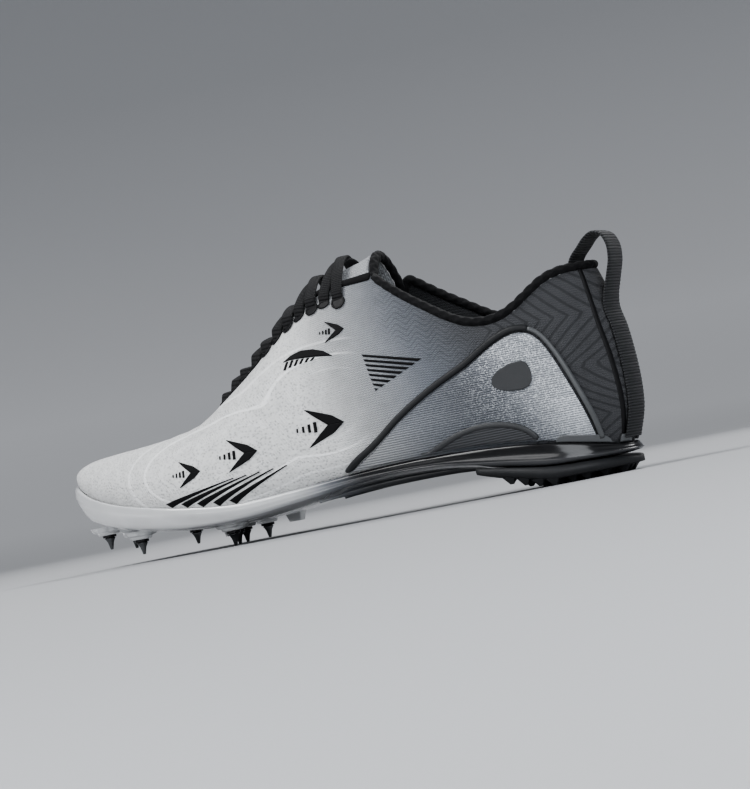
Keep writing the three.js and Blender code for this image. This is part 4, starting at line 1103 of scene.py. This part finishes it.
def build_laces():
    part, uv = lace_run(LACE_AT[0], LACE_AT[0], -1, 2.6)
    obj = join("lace_front_bar", [part], uvs=[uv])
    done(obj, "lace", "lace", "lace_bar")
    for i in range(5):
        f = (i + 1) / 5
        lift = .75 + 2.45 + (.8 - 2.45) * f ** 3
        back, ahead = LACE_AT[i] + LACE_BACK, LACE_AT[i + 1]
        one, uv1 = lace_run(back, ahead, -1, lift)
        two, uv2 = lace_run(back, ahead, 1, lift, hump=1.3)
        obj = join(f"lace_cross_{i + 1}", [one, two], uvs=[uv1, uv2])
        done(obj, "lace", "lace", f"lace_crossing_{i + 1}")


build_laces()


# the sole
CLEAR = np.array([.80, .81, .82])
SMOKE = np.array([.16, .17, .19])
BLACK = np.array([.010, .010, .011])
PAINTED_SHEEN_GREY = np.array([.095, .098, .105])


def sole_tint(p, under):
    """Clear ahead of the waist, black from it; the underside is painted a lighter grey that stands for the
    sheen of a satin finish: painted sheen.
    """
    x = p[..., 0] + .35 * (p[..., 1] + 30) * under
    mid = smooth(-22, 6, x)
    end = smooth(-4, 20, x)
    c = CLEAR + (SMOKE - CLEAR) * mid[..., None]
    # painted sheen: the underside lighter grey than the black sides, with the same roughness
    dark = BLACK + (PAINTED_SHEEN_GREY - BLACK) * under[..., None]
    c = c + (dark - c) * end[..., None]
    return c, 1 - mid


def plate_bottom(x, reach):
    return SEC["bottom"](station_of(x)) + 2.2 * np.clip(reach, 0, 1) ** 3


def under_at(x, y):
    s = station_of(x)
    half = np.where(y < 0, SEC["lat"](s) - SEC["edL"](s), SEC["med"](s) - SEC["edM"](s))
    return plate_bottom(x, np.abs(y) / half)


def build_plate():
    s, side = ribs(230)
    x, y = outline(s, side)
    nx, ny = outward(s, side)
    px = spine_x(x)
    py = SEC["crown"](station_of(px)) * .5
    top = rim_level(s, side)
    rise = rim(s, side) - SEC["bottom"](s) - 2.2
    lip = 1.4 * GAP - tuck(s, 1 + top) + 1.7
    under = -edge(s, side) - 1.5
    foot_z = SEC["bottom"](s) + 2.2

    def at(d, z):
        return np.stack([x + nx * d, y + ny * d + SHIFT_Y, z + 0 * x], -1)
    rows, beneath = [], []
    for f in (0, .35, .7):
        t = -1 + (top + 1) * f
        z = bed(s) if f == 0 else wall(s, side, t)[..., 2]
        d = 1.4 * GAP - tuck(s, 1 + t)
        if f == 0:
            for k in (0, .5, .9):
                qx, qy = px + (x + nx * d - px) * k, py + (y + ny * d - py) * k
                qz = bed(station_of(qx)) * (1 - k * k) + bed(s) * k * k
                rows.append(np.stack([qx, qy + SHIFT_Y, qz], -1))
                beneath.append(0)
        rows.append(at(d, z))
        beneath.append(0)
    # rounded lip, side wall with its crease, and the underside
    wall_in = 1.4 * GAP - tuck(s, 1 + top)
    zr = rim(s, side)
    side_line = [
        (wall_in, zr - .35), (wall_in + .35, zr - .05), (wall_in + .85, zr), (lip - .25, zr - .15),
        (lip, zr - .5), (lip + .2, zr - .12 * rise), (lip + .42, zr - .24 * rise),
        (lip + .5, zr - .3 * rise)]
    for d, z in side_line:
        rows.append(at(d, z))
        beneath.append(0)
    a = (lip + .5, zr - .3 * rise)
    b = (lip + (under + 1.5 - lip) * .55 + .4, foot_z + .3 * rise)
    c = (under + 1.5, foot_z + .9)
    e = (under, foot_z)
    for k in (.25, .5, .75, 1):
        rows.append(at(a[0] + (b[0] - a[0]) * k + .15 * math.sin(math.pi * k), a[1] + (b[1] - a[1]) * k))
        beneath.append(.15 * k)
    for k in (.3, .6, .85, 1):
        rows.append(at(b[0] + (c[0] - b[0]) * k + .2 * math.sin(math.pi * k), b[1] + (c[1] - b[1]) * k))
        beneath.append(.15 + .5 * k)
    rows.append(at(e[0], e[1]))
    beneath.append(1)
    ex, ey = x + nx * under, y + ny * under
    for f in np.linspace(.97, 0, 40):
        qx, qy = px + (ex - px) * f, py + (ey - py) * f
        bz = SEC["bottom"](station_of(qx)) * (1 - f) + SEC["bottom"](s) * f + 2.2 * f ** 3
        rows.append(np.stack([qx, qy + SHIFT_Y, bz], -1))
        beneath.append(1)
    grid = np.stack(rows, 1)
    u = np.broadcast_to(np.array(beneath)[None], grid.shape[:2]).copy()
    # underside: a raised field on the outer waist with a step round it, soft flow lines at the ball
    gx, gy = grid[..., 0], grid[..., 1]
    low = u > .9
    field = smooth(4, 10, gx + .55 * (gy + 30)) * smooth(76, 66, gx) * smooth(-9.5, -12.5, gy - .04 * gx)
    field *= smooth(-36.5, -33.5, gy)
    grid[..., 2] += np.where(low, .9 * field, 0)
    lines = .5 * np.cos((gy + .0016 * (gx + 40) ** 2) * .42) * smooth(-20, -45, gx) * smooth(-120, -95, gx)
    grid[..., 2] += np.where(low, .35 * lines, 0)
    tint, clear = sole_tint(grid, u)
    obj = make("sole_plate", grid.reshape(-1, 3), grid_faces(len(s), grid.shape[1], loop_n=True),
               attrs={"tint": tint.reshape(-1, 3), "clear": clear.ravel()})
    return done(obj, "sole", "sole_plate", "outsole_plate")


build_plate()


def sole_part(name, parts, smooth_faces=True):
    v, faces = merged(parts)
    tint, clear = sole_tint(v, np.ones(len(v)) * .6)
    obj = make(name, v, faces, smooth_faces, attrs={"tint": tint, "clear": clear})
    return done(obj, "sole", "sole_plate")


def revolve(profile, sides, centre, radius=None):
    """Surface of revolution; radius(angle, r, i) may bend the radius."""
    a = np.arange(sides) / sides * 2 * math.pi
    rows = []
    for i, (r, z) in enumerate(profile):
        reach = r if radius is None else radius(a, r, i)
        x, y = centre[0] + reach * np.cos(a), centre[1] + reach * np.sin(a)
        rows.append(np.stack([x, y, centre[2] + z + 0 * a], -1))
    g = np.stack(rows, 0)
    return g.reshape(-1, 3), grid_faces(len(profile), sides, loop_m=True, flip=True)


PIN_PLACES = []
for AT, ACROSS, EXTRA, STANDS in PINS:
    PX, PY = TOE_X + AT * LENGTH, ACROSS * BALL
    PZ = 7.0 if STANDS else float(under_at(PX, np.array(PY))) - 3.3 * (1 + EXTRA)
    PIN_PLACES.append((PX, PY + SHIFT_Y, PZ))


def build_pins():
    for k, (x, y, z) in enumerate(PIN_PLACES):
        tip = .1 - 7.0
        cone = [(0.001, tip), (.55, tip), (.72, tip + .12), (1.55, -3.6), (2.5, -1.95), (2.62, -1.8),
                (2.62, -1.6), (2.2, -1.5), (2.2, -1.2)]

        def facets(a, r, i):
            return r * (1 - (.16 * np.abs(np.sin(1.5 * a)) if 2 <= i <= 4 else 0))
        v, f = revolve(cone, 36, (x, y, z), facets)
        base = [(2.2, -1.25), (3.1, -1.25), (3.3, -1.05), (3.3, -.3), (3.1, -.1), (.001, -.1)]

        def hexed(a, r, i):
            return r * (.93 + .07 * np.abs(np.cos(3 * a)) ** .5)
        v2, f2 = revolve(base, 36, (x, y, z), hexed)
        pin = make(f"spike_pin_{k + 1}", v, f)
        done(pin, "steel", "spike_steel", f"spike_{k + 1}")
        ring = make(f"spike_seat_{k + 1}", v2, f2)
        done(ring, "spike_ring", "spike_steel")


build_pins()


def build_bosses():
    """Receptacles: stepped discs, the upper one with petals."""
    parts = []
    for k, (x, y, z) in enumerate(PIN_PLACES):
        root = float(under_at(x, np.array(y - SHIFT_Y))) - z + .5
        prof = [(.001, 0), (4.4, 0), (4.9, .25), (5.1, .8), (5.25, 1.35), (6.7, 1.6), (7.3, 1.9), (7.6, 2.5),
                (7.9, min(3.4, root - .2)), (8.2, root)]

        def petals(a, r, i):
            bite = .75 * np.clip(np.cos(6 * a + k), 0, 1) ** 2
            return r - (bite if i in (5, 6, 7) else .35 * bite if i == 8 else 0)
        parts.append(revolve(prof, 72, (x, y, z), petals))
    sole_part("spike_receptacles", parts)


build_bosses()


def block(centre, foot, tip, top_z, low_z, bevel=.35):
    """Tapered block that hangs from top_z to low_z."""
    rings = []
    for half, z, cut in ((foot, top_z, .1), (foot, top_z - .01, .1),
                         (tip + bevel * .6, low_z + bevel, .15), (tip, low_z, .2)):
        c = half * (1 - cut)
        rings.append([[centre[0] + i, centre[1] + j, z] for i, j in (
            (-half, -c), (-c, -half), (c, -half), (half, -c), (half, c), (c, half), (-c, half), (-half, c))])
    v = np.array(rings).reshape(-1, 3)
    f = grid_faces(4, 8, loop_m=True).tolist()
    f.append([24 + i for i in range(8)])
    return v, f


def build_studs():
    parts = []
    for at, across, height in STUDS:
        x, y = TOE_X + at * LENGTH, across * BALL
        z = float(under_at(x, np.array(y)))
        parts.append(block((x, y + SHIFT_Y), 4.5, 2.75, z + 1.2, z + .5 - height * z))
    sole_part("moulded_studs", parts, smooth_faces=False)
    ribs_across = []
    sec = np.array([[-2.4, 1.1], [-1.5, -.9], [-.7, -1.75], [0, -2.0], [.7, -1.75], [1.5, -.9], [2.4, 1.1]])
    out, down = sec[None, :, 0], sec[None, :, 1]
    for start, end, a, b, c in RIBS:
        line = curve([0, .5, 1], np.array([a, b, c]) * BALL)
        f = np.linspace(0, 1, 60)
        x = TOE_X + (start + (end - start) * f) * LENGTH
        y = line(f)
        size = .3 + .7 * np.sin(math.pi * np.clip(f, .06, .94))
        z = under_at(x, y)
        v = np.stack([np.broadcast_to(x[:, None], (60, 7)), y[:, None] + SHIFT_Y + size[:, None] * out,
                      z[:, None] + np.where(down > 0, 1.1, down * size[:, None])], -1)
        faces = grid_faces(60, 7, loop_m=True, flip=True).tolist()
        faces += [list(range(7)), [59 * 7 + i for i in range(7)][::-1]]
        ribs_across.append((v.reshape(-1, 3), faces))
    sole_part("waist_ribs", ribs_across)


build_studs()


def pad_floor(x, y):
    u = under_at(x, y)
    return np.minimum(2.6 + np.maximum(0, u - 8.6) * 1.5, u - 2.2)


def build_pad():
    front = {-1.0: .752, 1.0: .735}
    vee = TOE_X + .862 * LENGTH
    rows = []
    for side in (-1.0, 1.0):
        s = np.linspace(float(station_at(front[side])), 1, 60)
        x, y = outline(s, side)
        nx, ny = outward(s, side)
        d = edge(s, side) + .9
        ox, oy = x - nx * d, y - ny * d
        start = TOE_X + front[side] * LENGTH
        opened = np.clip((vee - x) / (vee - start), 0, 1)
        spread = (.93 if side < 0 else .5) * np.abs(oy)
        iy = side * (2.4 + (np.maximum(spread, 2.4) - 2.4) * opened)
        ix = np.minimum(ox, vee + 1.5)
        f = np.linspace(0, 1, 14)[None]
        gx = ix[:, None] + (ox - ix)[:, None] * f
        gy = iy[:, None] + (oy - iy)[:, None] * f
        rows.append((gx, gy) if side < 0 else (gx[:-1][::-1], gy[:-1][::-1]))
    gx, gy = np.vstack([rows[0][0], rows[1][0]]), np.vstack([rows[0][1], rows[1][1]])
    face = pad_floor(gx, gy)
    from_edge = np.minimum(np.arange(14), np.arange(14)[::-1]) / 2.0
    rounded = .5 * (1 - np.clip(from_edge, 0, 1))[None]
    lower = np.stack([gx, gy + SHIFT_Y, face + rounded], -1)
    ceiling = np.stack([gx, gy + SHIFT_Y, under_at(gx, gy) - .7], -1)
    done(sheet_mesh("heel_pad_body", lower, ceiling), "pad", "heel_rubber", "heel_pad")
    # pyramids in rows
    pitch, half = 6.4, 2.9
    ring = np.concatenate([np.stack([gx[:, -1], gy[:, -1]], -1), np.stack([gx[:, 0], gy[:, 0]], -1)[::-1]])

    def inside(px, py):
        hit = False
        for (ax, ay), (bx, by) in zip(ring, np.roll(ring, -1, 0)):
            if (ay > py) != (by > py) and px < (bx - ax) * (py - ay) / (by - ay) + ax:
                hit = not hit
        return hit
    parts = []
    x = TOE_X + .752 * LENGTH + pitch
    while x < HEEL_X:
        y = -BALL / 2 + 3.2
        while y < BALL / 2:
            if all(inside(x + i * half, y + j * half) for i in (-1, 1) for j in (-1, 1)):
                z = float(pad_floor(x, np.array(y)))
                parts.append(block((x, y + SHIFT_Y), 3.1, .7, z + .9, z - 2.6, .3))
            y += pitch
        x += pitch
    lugs = join("heel_pad_lugs", parts, smooth_faces=False)
    done(lugs, "pad", "heel_rubber")


build_pad()


# printed marks, seams and small films
def patch(name, side, corners_top, corners_low, steps=40, across=8, mat="print", slot="upper_mesh",
          low=-.5, high=.16):
    """A thin mark between two lines of (share of length, height) on the face."""
    def line(rows):
        rows = np.array(rows, float)
        p = np.stack([TOE_X + rows[:, 0] * LENGTH, rows[:, 1]], -1)
        d = arc_of(p)
        q = np.linspace(0, d[-1], steps)
        return np.stack([np.interp(q, d, p[:, k]) for k in (0, 1)], -1)
    a, b = line(corners_top), line(corners_low)
    f = np.linspace(0, 1, across)[None, :, None]
    g = a[:, None] + (b - a)[:, None] * f
    z = g[..., 1]
    if side > 0:
        z = z + np.maximum(0, rim(station_of(g[..., 0]), 1.0) - rim(station_of(g[..., 0]), -1.0)) * .8
    outer = on_face(side, g[..., 0], z, np.full(z.shape, high))
    inner = on_face(side, g[..., 0], z, np.full(z.shape, low))
    return done(sheet_mesh(name, outer, inner), mat, slot)


def arrowhead(name, side, at, z, size):
    """A plain arrowhead that points back, the same above and below its middle line, with bars behind."""
    a, h = .060 * size, 8.4 * size
    tip, notch = (at, z), (at - a * .44, z)
    for arm, up in (("upper", 1), ("lower", -1)):
        outer = [tip, (at - a * .3, z + up * h * .46), (at - a, z + up * h)]
        inner = [notch, (at - a * .72, z + up * h * .46), (at - a * 1.02, z + up * h * .98)]
        lines = (outer, inner) if up > 0 else (inner, outer)
        patch(f"{name}_{arm}", side, *lines, 24)
    for j in range(4):
        x, tall, wide = at - a * (.74 + .17 * j), h * (.27 - .055 * j), .0052 * size * (1 - .16 * j)
        patch(f"{name}_bar_{j + 1}", side, [(x - wide, z + tall), (x, z + tall)],
              [(x - wide, z - tall), (x, z - tall)], 5)


def build_marks():
    for side, word in SIDES:
        # arrowheads along the side, smaller towards the toe
        for i, (at, z, size) in enumerate(ARROWS):
            arrowhead(f"arrowhead_{word}_{i + 1}", side, at, z - 3.0 * size, size)
        # a small leaf by the laces with a comb under it
        leaf_x = np.array([.468, .482, .500, .522, .540, .554])
        leaf_top, leaf_low = (np.array(v) for v in ([75.4, 77.6, 78.8, 78.3, 76.6, 73.9],
                                                    [75.2, 75.6, 75.4, 74.9, 74.3, 73.7]))
        patch(f"lace_leaf_{word}", side, list(zip(leaf_x, leaf_top)), list(zip(leaf_x, leaf_low)), 40, 6)
        for j in range(6):
            at = .473 + .0095 * j
            z = float(np.interp(at, leaf_x, leaf_low)) - .25
            tall = 3.4 - .42 * j
            patch(f"leaf_comb_{word}_{j + 1}", side, [(at, z), (at + .0045, z)],
                  [(at - .005, z - tall), (at - .0005, z - tall)], 5, 6)
        arrowhead(f"throat_arrowhead_{word}", side, .577, 84.6, .55)
        # speed lines that rise from the sole, thick at the foot
        for i in range(5):
            f = np.linspace(0, 1, 14)
            a0, a1 = .236 + .0295 * i, .366 + .0225 * i
            base = rim(station_of(TOE_X + a0 * LENGTH), -1.0) + 1.0
            a = a0 + (a1 - a0) * f
            z = base + (29.6 + .25 * i - base) * f ** .92
            w = 1.75 * (1 - f) ** 1.3 + .34
            patch(f"speed_line_{word}_{i + 1}", side, list(zip(a - .0022 * w, z + w * .5)),
                  list(zip(a + .0022 * w, z - w * .5)), across=3)
        # striped wedge under the eyelets
        for i in range(8):
            f = i / 7.6
            left, right, z0, z1 = .603 + .014 * f, .700 - .083 * f, 71.1 - 16.8 * f, 64.2 - 9.9 * f
            patch(f"wedge_line_{word}_{i + 1}", side, [(left, z0 + .52), (right, z1 + .4)],
                  [(left + .002, z0 - .52), (right - .006, z1 - .4)], across=3)
        # plain patch on the panel, and a clip over the rim at the heel
        patch_top = [(.8085, 47.6), (.811, 50.3), (.822, 52.7), (.844, 54.8), (.862, 55.0), (.869, 53.6),
                     (.8725, 50.5), (.8727, 48.5)]
        patch_low = [(.8085, 47.6), (.811, 46.2), (.820, 44.4), (.838, 43.1), (.856, 42.9), (.866, 43.7),
                     (.8715, 45.6), (.8727, 48.5)]
        patch(f"blank_patch_{word}", side, patch_top, patch_low, 60, 24, "badge", "quarter_film", 1.2, 1.6)
        for part, a0, a1 in (("long", .888, .972), ("short", .982, .996)):
            a = np.linspace(a0, a1, 26)
            low = rim(station_of(TOE_X + a * LENGTH), side) + .9
            f = np.linspace(-1, 1, len(a))
            tall = 3.0 * (1 - f ** 8)
            patch(f"heel_clip_{part}_{word}", side, list(zip(a, low + tall)), list(zip(a, low)), 40, 6,
                  "clip", "sole_plate", .3 + GAP, 1.5)


build_marks()


def strip_along(name, side, points, width, mat, slot, low=.02, high=.5, step=1.0):
    """Raised line over the face along (x, z) points."""
    q = resample(points, step)
    n = beside(q)
    w = np.array([-1, -.75, 0, .75, 1]) * width / 2
    x = q[:, 0:1] + n[:, 0:1] * w
    z = q[:, 1:2] + n[:, 1:2] * w
    h = high * (1 - .8 * (np.abs(w) / (width / 2)) ** 3) + 0 * x
    return face_strip(name, side, x, z, low, np.maximum(h, low + .05), mat, slot)


def build_seams():
    for side, word in SIDES:
        # edge seam beside the heel tape
        rows = [(.984, 89.4), (.981, 78), (.980, 65.5), (.983, 50.7), (.986, 31.9), (.988, 15.5)]
        strip_along(f"heel_seam_{word}", side, [(TOE_X + a * LENGTH, z) for a, z in rows], 1.5, "seam",
                    "upper_mesh")
        # dark rolled edge along the throat, up to the collar
        xs = np.linspace(-40.0, 34.2, 190)
        half = throat_half(xs)
        fade = np.sqrt(1 - np.clip((xs - 32.7) / 1.6, 0, 1) ** 2)  # a rounded end
        lows, highs = half + .1, half + .35 + (.55 + 1.3 * smooth(-14, 8, xs)) * fade
        f = np.linspace(0, 1, 7)[None]
        hw = lows[:, None] + (highs - lows)[:, None] * f
        S = station_of(xs)[:, None] + 0 * hw
        D = np.full_like(S, side)
        T = level_at_width(S, D, hw)
        full = smooth(-40, -20, xs) * (.25 + .75 * fade)
        up = 1.1 * (1 - .75 * np.abs(2 * f - 1) ** 4) * full[:, None] + .1
        obj = sheet_mesh(f"throat_roll_{word}", lifted(S, D, T, up), lifted(S, D, T, np.full_like(up, .02)))
        done(obj, "cord", "collar_knit")


build_seams()


# floor, light and camera
def build_stage():
    flat, bowl = 1500, 1900
    turn = np.linspace(0, math.pi / 2, 48)[1:]
    bend = [(flat + bowl * math.sin(a), bowl * (1 - math.cos(a))) for a in turn]
    prof = [(.001, 0), (600, 0), (flat, 0), *bend, (flat + bowl, 2300)]
    v, f = revolve(prof, 96, (0, 0, 0))
    floor = make("studio_floor", v, f)
    mat, nt, bsdf = material("studio_paper")
    height = sockets(nt, "ShaderNodeSeparateXYZ", {0: position(nt)}).outputs[2]
    # painted shade: the paper darker higher up the wall
    shade = ramp(nt, height, [(0.0, (.42, .425, .435)), (.25, (.36, .365, .375)), (.9, (.26, .265, .275))])
    # painted light: the paper glows, none on the floor and most low on the wall, though it is no lamp
    glow = ramp(nt, height, [(0.0, 0.0), (.03, (.07, .071, .074)), (.15, (.13, .132, .138)),
                             (.6, (.075, .077, .082))])
    feed(nt, bsdf, {"Base Color": shade, "Emission Color": glow, "Emission Strength": 1.0,
                    "Roughness": .9, "Specular IOR Level": .2})
    floor.data.materials.append(mat)
    world = bpy.data.worlds.new("studio")
    world.use_nodes = True
    world.node_tree.nodes["Background"].inputs[0].default_value = (.82, .85, .9, 1)
    world.node_tree.nodes["Background"].inputs[1].default_value = .45
    bpy.context.scene.world = world

    def lamp(name, place, target, size, power, colour=(1, 1, 1)):
        data = bpy.data.lights.new(name, "AREA")
        data.shape = "RECTANGLE"
        data.size, data.size_y = size
        data.energy = power
        data.color = colour
        obj = bpy.data.objects.new(name, data)
        obj.location = place
        obj.rotation_euler = (Vector(target) - Vector(place)).to_track_quat("-Z", "Y").to_euler()
        bpy.context.scene.collection.objects.link(obj)
    lamp("key", (-.55, -.75, 1.25), (0, 0, .05), (.9, .9), 17)
    lamp("fill", (.9, -1.0, .5), (.04, 0, .05), (.7, .9), 7, (.93, .96, 1))
    lamp("rim", (.4, 1.0, 1.1), (0, 0, .06), (1.2, .6), 12)
    lamp("low", (-.2, -1.2, .12), (0, 0, .03), (1.4, .2), 3)


build_stage()


def build_camera():
    azimuth, elevation, roll = math.radians(21.43), math.radians(-1.6), math.radians(-11.0)
    lens_px, photo_px, sensor, away = 3072.43, 789, 36, 1.369
    data = bpy.data.cameras.new("camera")
    data.sensor_width = sensor
    data.lens = lens_px * sensor / photo_px
    data.shift_x, data.shift_y = -.0062, -.0028
    data.clip_start, data.clip_end = .05, 50
    cam = bpy.data.objects.new("camera", data)
    back = Vector((math.sin(azimuth) * math.cos(elevation), -math.cos(azimuth) * math.cos(elevation),
                   math.sin(elevation)))
    target = Vector((.0196, -.001, .0549))
    cam.location = target + back * away
    look = (-back).to_track_quat("-Z", "Y").to_matrix().to_4x4()
    cam.rotation_euler = (look @ Matrix.Rotation(roll, 4, "Z")).to_euler()
    bpy.context.scene.collection.objects.link(cam)
    bpy.context.scene.camera = cam
    bpy.context.scene.view_settings.look = "AgX - Medium High Contrast"


build_camera()
